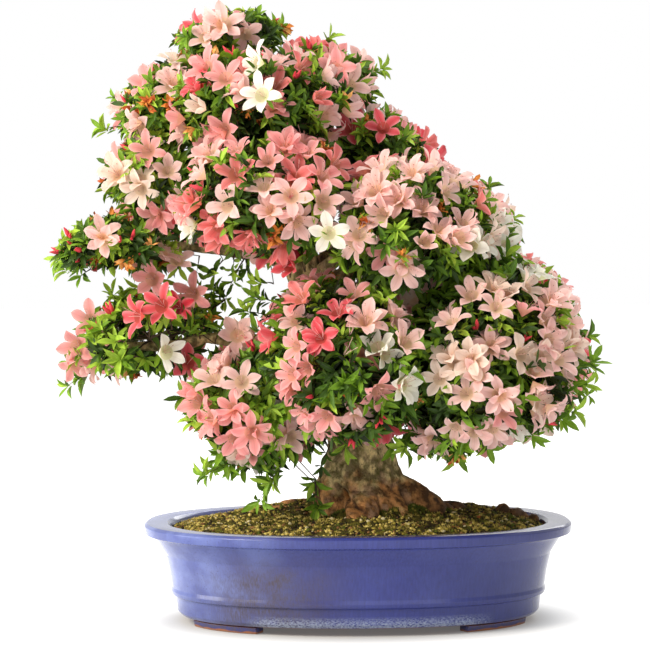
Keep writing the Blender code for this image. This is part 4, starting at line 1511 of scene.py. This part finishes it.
def ragged(point):
    """How far the crown's outline swings out or in at a place, in tufts some 25 mm across."""
    return 0.013 * noise.noise(point * 40.0)


def hollow(point):
    """How deep the crown is let in at a place, from 0 to 1, in hollows some 50 mm across."""
    return clamped(noise.noise(point * 19.0) * 2.2 - 0.10)


# Greens of the leaves, dealt out by spray; the darker ones go to inner sprays, which hold older
# leaves, and, as painted shade, to sprays underneath and in hollows
GREENS = (
    ("fresh azalea leaf", "#9CBB3E"),
    ("young azalea leaf", "#739828"),
    ("grown azalea leaf", "#4E6E20"),
    ("old azalea leaf", "#344C18"),
    ("shaded azalea leaf", "#222F10"),
)
# Petals: name, lobe, throat, chance in the pink upper left, chance in the pale lower right
PETALS = (
    ("blush azalea petal", "#F9CBC6", "#F6D0B0", 0.31, 0.30),
    ("rose azalea petal", "#F8A5A4", "#F2AE98", 0.30, 0.13),
    ("salmon azalea petal", "#F38583", "#E68C76", 0.14, 0.07),
    ("coral azalea petal", "#EE5E68", "#D25C54", 0.08, 0.05),
    ("crimson azalea petal", "#DD3C4A", "#B83640", 0.035, 0.02),
    ("white azalea petal", "#F8F5EA", "#E8E4B8", 0.045, 0.12),
    ("cream azalea petal", "#F3DACB", "#EECEB0", 0.07, 0.34),
)


# Growth inside a mass
BRANCHES = 13
LEAST_REACH = 0.012  # a branch needs this much room
OPEN_SHARE = 0.93  # a side is open where the mass reaches this share of its oval
CLOSED_SHARE = 0.70  # and bare where it reaches less than this
HOLLOW_DEPTH = 0.030
TRIMMING = 0.008  # how far an end past the outline is drawn back at a time
INNER_END = 0.5  # depth of an end that hides inside, against 1 at the outside
LEAF_ROOM = 0.018  # a leafy end stops this far short of the mass's reach, for its leaves
FLOWER_ROOM = 0.025  # and a flowering end this far, for its flower
MOUTH_ROOM = 0.0150  # no leaf comes closer to the middle of an open flower
MOUTH_BACK = 0.0125  # how far that middle lies inside the twig end
MOUTH_RISE = 0.0025
BESIDE_FLOWER = 0.026  # no bud or faded flower comes closer to an open one
CROWDED = 0.019  # a leafy end this close to a flower draws back
DRAWN_BACK = 0.012
UNDERSIDE = -0.35  # a way that points lower than this is under its mass
HIGH = 0.42  # above this height more flowers are in bud or faded
GOLDEN_ANGLE = 2.399963
CHOOSE_SHAPE = (0.26, 0.24, 0.20, 0.14, 0.10, 0.06)  # how often each flower form is dealt


def nearest(branches, place):
    """The branch end that is nearest to a place."""
    return min(branches, key=lambda branch: (branch - place).length)


def drift(chance, spread):
    """A random step of some spread in each direction."""
    return Vector(chance.normal(0.0, spread, 3))


class Growth:
    """What grows on from the limbs, by the source's seeded rule carried to finer twigs."""

    def __init__(self, leaves, blossom):
        self.leaves = leaves
        self.blossom = blossom
        self.twig_rows = Scatter()
        self.leaf_rows = Scatter()
        self.inner_leaf_rows = Scatter()
        self.flower_rows = Scatter()
        self.filament_rows = Scatter()
        self.bud_rows = Scatter()
        self.faded_rows = Scatter()
        self.ends = []
        self.blooms = []
        self.branches = []
        for number, name in enumerate(FOLIAGE):
            self.grow_mass(name, np.random.default_rng(SEED + number))
        chance = np.random.default_rng(BLOOM_SEED)
        self.pick_blooms(chance)
        self.dress_ends(chance)
        for back, root_x, root_z, tip_x, tip_z, count, petal in LOOSE_SPRAYS:
            root, tip = put_back(root_x, back, root_z), put_back(tip_x, back, tip_z)
            self.loose_spray(root, tip, count, petal, chance)

    def twig(self, start, end, half_width, chance, pieces=3):
        """A twig in straight lengths that wander a little, thinning to its end."""
        along = end - start
        bow = drift(chance, 0.05) * along.length + UP * 0.08 * along.length
        at = start
        for i in range(pieces):
            share = (i + 1) / pieces
            to = start.lerp(end, share) + bow * 2.0 * share * (1.0 - share)
            size = half_width * 0.7**i
            step = to - at
            self.twig_rows.add(0, at, step, step.orthogonal(), (size, step.length * 1.04, size))
            at = to

    def grow_mass(self, name, chance):
        """Branches to every side of a mass, and from them twigs to its open sides."""
        space = make_spaces()[name]
        thin, blooming = THIN_MASSES.get(name, (1.0, 1.0))
        half = np.array(space.half_sizes)
        ways = unit(even_ways(BRANCHES, chance.uniform(0.0, math.pi)) * half)
        reaches = space.reach(ways)
        branches = []
        for way, reach in zip(ways, reaches):
            end = space.middle + Vector(way) * float(reach) * chance.uniform(0.42, 0.60)
            root = space.stem_start.lerp(space.middle, chance.uniform(0.45, 1.0))
            if reach > LEAST_REACH:
                self.twig(root, end, max(0.0017, space.stem_half_width * 0.36), chance, 4)
                branches.append(end)
        self.branches += branches
        area = 4.0 * math.pi * (half[0] * half[1] + half[0] * half[2] + half[1] * half[2]) / 3.0
        count = int(thin * area / self.leaves.spacing**2)
        evenly = even_ways(count, chance.uniform(0.0, math.pi)) * half
        ways = unit(evenly + chance.normal(0.0, 0.004, (count, 3)))
        for way, reach, oval in zip(ways, space.reach(ways), space.oval(ways)):
            is_open = reach > OPEN_SHARE * oval
            if not is_open and (reach < CLOSED_SHARE * oval or chance.random() < 0.5):
                continue
            way = Vector(way)
            edge = space.middle + way * float(reach)
            pit = hollow(edge) * (0.35 + 0.65 * abs(way.y))
            drawn = float(reach) - HOLLOW_DEPTH * pit - abs(chance.normal(0.0, 0.004))
            end = dict(branches=branches, way=way, pit=pit, open=is_open, blooming=blooming)
            for _ in range(9):
                edge = space.middle + way * drawn
                if not off_crown(edge + UP * 0.004 * way.z, ragged(edge))[0]:
                    break
                drawn -= TRIMMING
            if drawn < 0.25 * reach or opened(edge):
                continue
            self.ends.append({**end, "edge": edge, "depth": 1.0})
            if chance.random() < 0.75 * thin:
                inner = space.middle + way * max(0.2 * drawn, drawn - chance.uniform(0.034, 0.060))
                inner += drift(chance, 0.006)
                if not off_crown(inner)[0] and not opened(inner):
                    self.ends.append({**end, "edge": inner, "depth": INNER_END})

    def pick_blooms(self, chance):
        """Picks the twig ends that flower, so that the flowers keep a distance."""
        picked = np.full((1, 3), 9.0)
        for number in chance.permutation(len(self.ends)):
            end = self.ends[number]
            if end["depth"] < 1.0 or not end["open"]:
                continue
            share = self.blossom.share * end["blooming"]
            share *= 1.0 if end["way"].z > UNDERSIDE else 0.55
            share *= 1.0 if end["pit"] < 0.35 else 0.35
            share *= 0.45 if off_crown(end["edge"], -0.012)[0] else 1.0
            away = np.linalg.norm(picked - np.array(end["edge"]), axis=1).min()
            closer = 0.80 if self.paleness(end["edge"]) > 0.6 else 1.0
            if away > self.blossom.spacing * closer and chance.random() < share:
                picked = np.vstack([picked, np.array(end["edge"])[None]])
                end["blooms"] = True
        self.picked = picked
        blooming = [end for end in self.ends if end.get("blooms")]
        self.mouths = KDTree(len(blooming))
        for number, end in enumerate(blooming):
            self.mouths.insert(end["edge"] - end["way"] * MOUTH_BACK + UP * MOUTH_RISE, number)
        self.mouths.balance()

    def dress_ends(self, chance):
        """Deals flowers, buds, faded flowers and leaves to the twig ends."""
        for end in self.ends:
            edge, way, depth = end["edge"], end["way"], end["depth"]
            heading = (way * 0.85 + UP * 0.35 + drift(chance, 0.22)).normalized()
            under = way.z < UNDERSIDE
            green = self.green(depth, under, end["pit"], chance)
            # Painted light: sprays far out on the left, which faces the light, often take a fresher
            # green
            if edge.x < -0.24 and chance.random() < 0.6:
                green = max(0, green - 1)
            if end.get("blooms"):
                base = edge - way * FLOWER_ROOM
                root = nearest(end["branches"], base)
                self.twig(root, base, self.leaves.twig, chance)
                self.flowers(base, (way + UP * 0.22).normalized(), chance)
                self.whorl(base - way * 0.006, heading, 6, 0.95, green, chance, opens=34.0)
                continue
            room = LEAF_ROOM if depth == 1.0 else 0.0
            bloom_away = np.linalg.norm(self.picked - np.array(edge), axis=1).min()
            if bloom_away < CROWDED and depth == 1.0:
                room += DRAWN_BACK
            tip = edge - way * room
            root = nearest(end["branches"], tip)
            self.twig(root, tip, self.leaves.twig, chance)
            count = int(chance.integers(7, 11)) if depth == 1.0 else int(chance.integers(5, 8))
            self.whorl(tip, heading, count, 1.0, green, chance, depth < 1.0)
            self.whorl(
                tip.lerp(root, 0.25), heading, 4, 0.85, min(4, green + 1), chance, depth < 1.0
            )
            if not end["open"] or bloom_away < BESIDE_FLOWER or depth < 1.0:
                continue
            high = edge.z > HIGH
            if chance.random() < (0.20 if high else 0.10):
                for _ in range(int(chance.integers(1, 4))):
                    lean = (heading + drift(chance, 0.25)).normalized()
                    size = chance.uniform(0.013, 0.022)
                    self.bud_rows.add(
                        0, tip, lean, lean.orthogonal(), (size * 0.30, size, size * 0.30)
                    )
            elif chance.random() < (0.27 if high else 0.07):
                for _ in range(int(chance.integers(1, 4))):
                    lean = (way + drift(chance, 0.6) - UP * 0.1).normalized()
                    size = chance.uniform(0.012, 0.020)
                    which, tone = int(chance.integers(3)), int(chance.integers(3))
                    self.faded_rows.add(
                        which, tip + way * 0.004, lean, lean.orthogonal(), (size, size, size), tone
                    )

    def paleness(self, place):
        """How far the flowers turn to the pale kinds, which grow low on the right."""
        return clamped((place.x + 0.08) / 0.22) * clamped((0.60 - place.z) / 0.16)

    def green(self, depth, under, pit, chance):
        """Which green a spray has: fresh at the outside; darker inside, in hollows and underneath,
        partly older leaves and partly painted shade.
        """
        # Painted shade, in part: sprays underneath, inside the mass and in hollows get darker
        # greens
        level = chance.normal(1.25, 0.95) + (0.5 if under else 0.0)
        level += 2.1 if depth < 1.0 else 0.0
        level += 2.2 * pit
        return int(min(4, max(0, round(level))))

    def whorl(self, tip, heading, count, size, green, chance, inner=False, opens=0.0, free=False):
        """A rosette of leaves round a twig's end, the outer ones spread wide."""
        side = heading.orthogonal().normalized()
        start = chance.uniform(0.0, 2.0 * math.pi)
        size *= 0.86 if tip.z > 0.45 else 1.0
        for i in range(count):
            around = start + GOLDEN_ANGLE * i
            spread = math.radians(chance.uniform(30.0, 52.0) + 30.0 * i / count + opens)
            out = side * math.cos(around) + heading.cross(side) * math.sin(around)
            along = heading * math.cos(spread) + out * math.sin(spread) - UP * 0.08
            scale = size * chance.uniform(0.62, 1.12)
            leaf = self.leaves.leaf * scale
            width = self.leaves.width * scale * chance.uniform(0.85, 1.15)
            root = tip - heading * 0.007 * i / count
            seen = root + along * leaf
            if not free and (opened(seen) or off_crown(seen, OUTLINE_EASE + ragged(tip))[0]):
                continue
            if any(
                self.mouths.find(root + along * leaf * share)[2] < MOUTH_ROOM
                for share in (0.25, 0.5, 0.75, 1.0)
            ):
                continue
            tone = min(4, max(0, green + int(chance.integers(-1, 2)) * (chance.random() < 0.4)))
            rows = self.inner_leaf_rows if inner else self.leaf_rows
            rows.add(int(chance.integers(3)), root, along, heading, (width, leaf, leaf), tone)

    def flowers(self, base, heading, chance, petal=None):
        """One or two flowers on a twig end, coloured by their place and their neighbours."""
        pale = self.paleness(base)
        chances = np.array([(1.0 - pale) * row[3] + pale * row[4] for row in PETALS])
        sort = int(chance.choice(len(PETALS), p=chances / chances.sum()))
        near = [other for place, other in self.blooms if (place - base).length < 0.055]
        if near and chance.random() < 0.40:
            sort = near[-1]
        if petal is not None:
            sort = petal
        self.blooms.append((base, sort))
        paired = chance.random() < 0.36
        count = 2 if paired and petal is None else 1
        for i in range(count):
            spread = 0.30 if count == 1 else 0.40
            axis = (heading + drift(chance, spread)).normalized()
            shape = int(chance.choice(len(CHOOSE_SHAPE), p=CHOOSE_SHAPE))
            size = self.blossom.size * chance.uniform(0.84, 1.10)
            upright = UP + drift(chance, 0.35)
            turned = axis.cross(upright).normalized()
            self.flower_rows.add(shape, base, turned, axis, (size, size, size), 2 * sort)
            self.filament_rows.add(0, base, turned, axis, (size, size, size), 0)

    def loose_spray(self, root, tip, count, petal, chance):
        """A shoot from the nearest branch, with a whorl or a flower at its end."""
        bearer = nearest(self.branches, root)
        self.twig(bearer, root, self.leaves.twig * 1.5, chance)
        self.twig(root, tip, self.leaves.twig * 1.1, chance, 4)
        toward = (tip - root).normalized() * 0.6 + Vector((-0.1, -0.55, 0.35))
        heading = (toward + drift(chance, 0.15)).normalized()
        green = int(chance.integers(0, 2))
        facing = Vector((-0.25, -0.9, 0.10)).normalized()
        if petal is None:
            self.whorl(tip, heading, count, 0.95, green, chance, free=True)
        else:
            base = tip - facing * 0.006
            self.whorl(base, facing, count, 0.95, green, chance, opens=36.0, free=True)
        is_full = count > 5
        for share in (0.62, 0.30) if is_full else (0.55,):
            at = root.lerp(tip, share)
            self.whorl(at, heading, 4 if is_full else 2, 0.80, green + 1, chance, free=True)
        if petal is not None:
            self.flowers(tip, facing, chance, petal)


GROWN = {}


def growth(scene):
    """The grown crown, made once and shared by the operators that dress it."""
    if "crown" not in GROWN:
        GROWN["crown"] = Growth(scene.azalea_leaves, scene.azalea_blossom)
    return GROWN["crown"]


def off_rib(tree):
    """How far a point lies to the side of the rib of its leaf or petal, by the UV map."""
    off = node(tree, "Math", place_along(tree, "X", "UV"), 0.5, operation="SUBTRACT")
    return node(tree, "Math", off, operation="ABSOLUTE")


def leaf_material(name, code):
    """A leathery leaf: a soft gloss on top, a paler rib, and a faint cloud of tone 9 mm across."""
    made, tree, shader = started(name, 0.48, IOR=1.42, Specular_IOR_Level=0.28)
    own = linear(code)
    cloud = pattern(tree, 9.0 * MM, 0.35, 0.65)
    rib = node(tree, "MapRange", off_rib(tree), 0.10, 0.0, 0.0, 0.5)
    pale = [min(1.0, c * 1.25 + 0.05) for c in own]
    base = layered(tree, shade(own, 0.78), (cloud, shade(own, 1.16)), (rib, pale))
    tree.links.new(base, shader.inputs["Base Color"])
    lets_through(tree, shader, base, 0.22)
    return made


def petal_material(name, code, throat, in_throat):
    """A thin matt petal that lets light through: paler edges, a deeper rib and fine veins."""
    label = name.replace("petal", "throat") if in_throat else name
    made, tree, shader = started(label, 0.62, IOR=1.4, Specular_IOR_Level=0.25)
    own, deep = linear(code), linear(throat)
    cloud = pattern(tree, 11.0 * MM, 0.36, 0.64)
    if in_throat:
        base = layered(tree, shade(deep, 0.9), (cloud, deep))
    else:
        away = off_rib(tree)
        # The outer part of each side fades towards white
        edge = node(tree, "MapRange", away, 0.20, 0.50, 0.0, 0.7)
        # The lobe's foot takes up the throat's colour
        foot = node(tree, "MapRange", place_along(tree, "Y", "UV"), 0.18, 0.50, 0.35, 0.0)
        # A rib a millimetre wide runs down the middle
        rib = node(tree, "MapRange", away, 0.09, 0.0, 0.0, 0.28)
        base = layered(
            tree,
            shade(own, 0.92),
            (cloud, own),
            (edge, [0.70 * c + 0.30 for c in own]),
            (foot, deep),
            (rib, [0.7 * c * (0.6 + 0.4 * c) for c in own]),
        )
    # Veins some 1.2 mm apart
    stripe = node(tree, "Math", place_along(tree, "X", "UV"), 56.0, **PRODUCT)
    wave = node(tree, "Math", stripe, operation="SINE")
    base = layered(tree, base, (node(tree, "MapRange", wave, 0.55, 1.0, 0.0, 0.09), deep))
    tree.links.new(base, shader.inputs["Base Color"])
    lets_through(tree, shader, base, 0.58 if in_throat else 0.48)
    return made


def lets_through(tree, shader, base, share):
    """Mixes in light that comes through from behind, as in a thin petal or leaf."""
    through = node(tree, "BsdfTranslucent", base)
    both = node(tree, "MixShader", share, shader.outputs[0], through)
    tree.links.new(both, tree.nodes["Material Output"].inputs["Surface"])


def plain_material(name, code, roughness, cloud_mm):
    """One tone with a soft cloud in it, of a real size."""
    made, tree, shader = started(name, roughness, Specular_IOR_Level=0.3)
    own = linear(code)
    base = layered(tree, shade(own, 0.7), (pattern(tree, cloud_mm * MM, 0.36, 0.64), own))
    tree.links.new(base, shader.inputs["Base Color"])
    return made


FOLIAGE_NODES = [f"foliage_{name}" for name in FOLIAGE]


def make_stage():
    """The photo's camera, a white sweep, and soft light from the upper left."""
    scene = bpy.context.scene
    camera = bpy.data.objects.new("camera", bpy.data.cameras.new("camera"))
    scene.collection.objects.link(camera)
    ahead = (CAMERA_AIM - CAMERA_PLACE).normalized()
    right = ahead.cross(UP).normalized()
    over = right.cross(ahead)
    turned_right = right * math.cos(CAMERA_ROLL) + over * math.sin(CAMERA_ROLL)
    turned_up = over * math.cos(CAMERA_ROLL) - right * math.sin(CAMERA_ROLL)
    turned = Matrix((turned_right, turned_up, -ahead)).transposed().to_4x4()
    camera.matrix_world = Matrix.Translation(CAMERA_PLACE + PLANT_PLACE) @ turned
    camera.data.lens = CAMERA_LENS
    camera.data.sensor_width = 36.0
    camera.data.clip_end = 60.0
    scene.camera = camera

    shape = bmesh.new()
    bmesh.ops.create_circle(shape, cap_ends=True, segments=96, radius=16.0)
    floor = bpy.data.objects.new("white_sweep", mesh_of("white_sweep", shape))
    scene.collection.objects.link(floor)
    floor.location.z = -0.0006
    paper, tree, shader = started("white seamless paper", 0.9, Specular_IOR_Level=0.1)
    # A light of its own, as of a light table: it glows white, and its glow drops under and round
    # the pot as a painted shadow
    shader.inputs["Base Color"].default_value = (*linear("#B4B4B2"), 1.0)
    shader.inputs["Emission Color"].default_value = (1.0, 1.0, 1.0, 1.0)
    place = node(tree, "TexCoord", out="Object")
    scale = (1.0 / POT_HALF_LENGTH, 1.0 / POT_HALF_DEPTH, 1.0)
    moved = [-m * k for m, k in zip(PLANT_PLACE, scale)]
    plan = node(tree, "Mapping", {"Vector": place, "Location": moved, "Scale": scale})
    away = node(tree, "VectorMath", plan, out="Value", operation="LENGTH")
    # Painted shadow: the glow is least under the pot and rises to full some way out
    glow_with_painted_shadow = node(tree, "MapRange", away, 0.70, 1.22, 0.10, 0.86, **SMOOTH)
    tree.links.new(glow_with_painted_shadow, shader.inputs["Emission Strength"])
    floor.data.materials.append(paper)

    for name, place, size, power, tint in (
        ("key", (-2.5, -2.0, 2.2), 1.5, 174.0, "#FFF8EC"),
        ("fill", (0.9, -3.0, 1.2), 2.2, 17.0, "#FFFDF8"),
        ("side", (-3.0, -0.4, 0.7), 1.5, 46.0, "#FFFDF8"),
        ("top", (0.0, 0.4, 3.0), 2.0, 62.0, "#FFFFFF"),
        ("back", (0.9, 2.6, 1.8), 1.6, 36.0, "#FFFFFF"),
    ):
        lamp = bpy.data.objects.new(name, bpy.data.lights.new(name, "AREA"))
        scene.collection.objects.link(lamp)
        lamp.data.energy = power
        lamp.data.size = size
        lamp.data.color = linear(tint)
        lamp.location = place
        from_aim = Vector(place) - LAMP_AIM
        lamp.rotation_euler = from_aim.to_track_quat("Z", "Y").to_euler()

    world = bpy.data.worlds.new("studio")
    world.use_nodes = True
    scene.world = world
    tree = world.node_tree
    tree.nodes.clear()
    # White where the camera or a reflection sees it, and softer as a light
    rays = [node(tree, "LightPath", out=f"Is {kind} Ray") for kind in ("Camera", "Glossy")]
    seen = node(tree, "Math", *rays, operation="MAXIMUM")
    soft = node(tree, "Background", linear("#FFFDF6"), 0.40)
    white = node(tree, "Background", linear("#FFFFFF"), 1.0)
    node(tree, "OutputWorld", node(tree, "MixShader", seen, soft, white))
    scene.view_settings.view_transform = "Standard"


class AZALEA_OT_stage(Operator):
    """Sets up the photo's camera, a white sweep and soft studio light"""

    bl_idname = "azalea.stage"
    bl_label = "Stage"

    def execute(self, context):
        make_stage()
        return {"FINISHED"}


class AZALEA_OT_pot(Operator):
    """Turns and glazes the oval pot and its feet"""

    bl_idname = "azalea.pot"
    bl_label = "Glazed pot"

    def execute(self, context):
        settings = context.scene.azalea_pot
        make_pot(settings)
        material = foot_material(settings)
        for corner_name in FEET:
            make_foot(corner_name, settings, material)
        return {"FINISHED"}


class AZALEA_OT_soil(Operator):
    """Lays the mounded soil with its moss and crumbs"""

    bl_idname = "azalea.soil"
    bl_label = "Mossy soil"

    def execute(self, context):
        make_soil(context.scene.azalea_soil)
        return {"FINISHED"}


class AZALEA_OT_bark(Operator):
    """Gives the trunk, the boughs and the root knobs their bark"""

    bl_idname = "azalea.bark"
    bl_label = "Bark"

    def execute(self, context):
        settings = context.scene.azalea_bark
        material = bark_material(settings)
        make_trunk(settings, material)
        make_boughs(settings, material)
        make_knobs(material)
        return {"FINISHED"}


class AZALEA_OT_twigs(Operator):
    """Grows the branches and twigs inside every mass"""

    bl_idname = "azalea.twigs"
    bl_label = "Twigs"

    def execute(self, context):
        crown = growth(context.scene)
        bark = plain_material("smooth twig bark", "#4A3A28", 0.8, 4.0)
        joined("twigs", [twig_template(3)], crown.twig_rows, [bark], FOLIAGE_NODES)
        return {"FINISHED"}


class AZALEA_OT_leaves(Operator):
    """Hangs the leaves in whorls on the twigs"""

    bl_idname = "azalea.leaves"
    bl_label = "Leaves"

    def execute(self, context):
        crown = growth(context.scene)
        materials = [leaf_material(name, code) for name, code in GREENS]
        curves = ((0.30, 0.10), (0.45, 0.24), (0.18, -0.08))
        outer = [leaf_template(4, fold, arch) for fold, arch in curves]
        inner = [leaf_template(2, fold, arch) for fold, arch in curves]
        joined("leaves", outer, crown.leaf_rows, materials, FOLIAGE_NODES)
        joined("inner_leaves", inner, crown.inner_leaf_rows, materials, FOLIAGE_NODES)
        return {"FINISHED"}


class AZALEA_OT_blossom(Operator):
    """Opens the flowers, with their stamens, buds and faded flowers"""

    bl_idname = "azalea.blossom"
    bl_label = "Blossom"

    def execute(self, context):
        crown = growth(context.scene)
        templates = [
            # Lobes, their lean, how far they curl back, and how wide they are
            blossom_template(5, math.radians(58.0), math.radians(40.0), 1.00, 0.3),
            blossom_template(5, math.radians(48.0), math.radians(52.0), 0.92, 1.9),
            blossom_template(5, math.radians(42.0), math.radians(30.0), 1.04, 3.1),
            blossom_template(6, math.radians(54.0), math.radians(44.0), 0.84, 4.4),
            blossom_template(5, math.radians(30.0), math.radians(44.0), 0.88, 5.2),
            blossom_template(5, math.radians(14.0), math.radians(22.0), 0.80, 6.3),
        ]
        materials = []
        for name, code, throat, _, _ in PETALS:
            materials.append(petal_material(name, code, throat, False))
            materials.append(petal_material(name, code, throat, True))
        joined("blossom", templates, crown.flower_rows, materials, FOLIAGE_NODES)
        stalk = plain_material("azalea stamen stalk", "#F6C2BC", 0.6, 6.0)
        head = plain_material("azalea stamen head", "#B9806A", 0.7, 2.0)
        joined(
            "stamens",
            [filament_template(0.5)],
            crown.filament_rows,
            [stalk, head],
            FOLIAGE_NODES,
        )
        red = plain_material("furled azalea bud", "#D8404C", 0.5, 5.0)
        cup = plain_material("azalea bud cup", "#6E8A34", 0.6, 4.0)
        joined("buds", [bud_template()], crown.bud_rows, [red, cup], FOLIAGE_NODES)
        tones = (
            ("faded azalea petal", "#D98638"),
            ("dry azalea petal", "#E8A860"),
            ("brown azalea petal", "#B4551E"),
        )
        dry = [plain_material(name, code, 0.7, 4.0) for name, code in tones]
        templates = [faded_template(0.0), faded_template(2.0), faded_template(4.5)]
        joined("faded_blossom", templates, crown.faded_rows, dry, FOLIAGE_NODES)
        return {"FINISHED"}


PIECES = (
    (AZALEA_OT_stage, None),
    (AZALEA_OT_pot, "azalea_pot"),
    (AZALEA_OT_soil, "azalea_soil"),
    (AZALEA_OT_bark, "azalea_bark"),
    (AZALEA_OT_twigs, None),
    (AZALEA_OT_leaves, "azalea_leaves"),
    (AZALEA_OT_blossom, "azalea_blossom"),
)
GROUPS = {
    "azalea_pot": PotSettings,
    "azalea_soil": SoilSettings,
    "azalea_bark": BarkSettings,
    "azalea_leaves": LeafSettings,
    "azalea_blossom": BlossomSettings,
}


class AZALEA_PT_dress(Panel):
    """Lists the pieces with their settings"""

    bl_idname = "AZALEA_PT_dress"
    bl_label = "Azalea bonsai"
    bl_space_type = "VIEW_3D"
    bl_region_type = "UI"
    bl_category = "Azalea"

    def draw(self, context):
        for operator, group in PIECES:
            box = self.layout.box()
            box.operator(operator.bl_idname)
            if group:
                settings = getattr(context.scene, group)
                for name in settings.bl_rna.properties.keys():
                    if name not in ("rna_type", "name"):
                        box.prop(settings, name)


def register():
    """Makes the settings, operators and panel known to Blender."""
    for settings in GROUPS.values():
        bpy.utils.register_class(settings)
    for operator, _ in PIECES:
        bpy.utils.register_class(operator)
    bpy.utils.register_class(AZALEA_PT_dress)
    for name, settings in GROUPS.items():
        setattr(bpy.types.Scene, name, PointerProperty(type=settings))


def unregister():
    """Takes them out again, in reverse."""
    for name in GROUPS:
        delattr(bpy.types.Scene, name)
    bpy.utils.unregister_class(AZALEA_PT_dress)
    for operator, _ in reversed(PIECES):
        bpy.utils.unregister_class(operator)
    for settings in reversed(list(GROUPS.values())):
        bpy.utils.unregister_class(settings)


def main():
    """Dresses the part piece by piece."""
    register()
    bpy.ops.azalea.stage()
    bpy.ops.azalea.pot()
    bpy.ops.azalea.soil()
    bpy.ops.azalea.bark()
    bpy.ops.azalea.twigs()
    bpy.ops.azalea.leaves()
    bpy.ops.azalea.blossom()


if __name__ == "__main__":
    main()
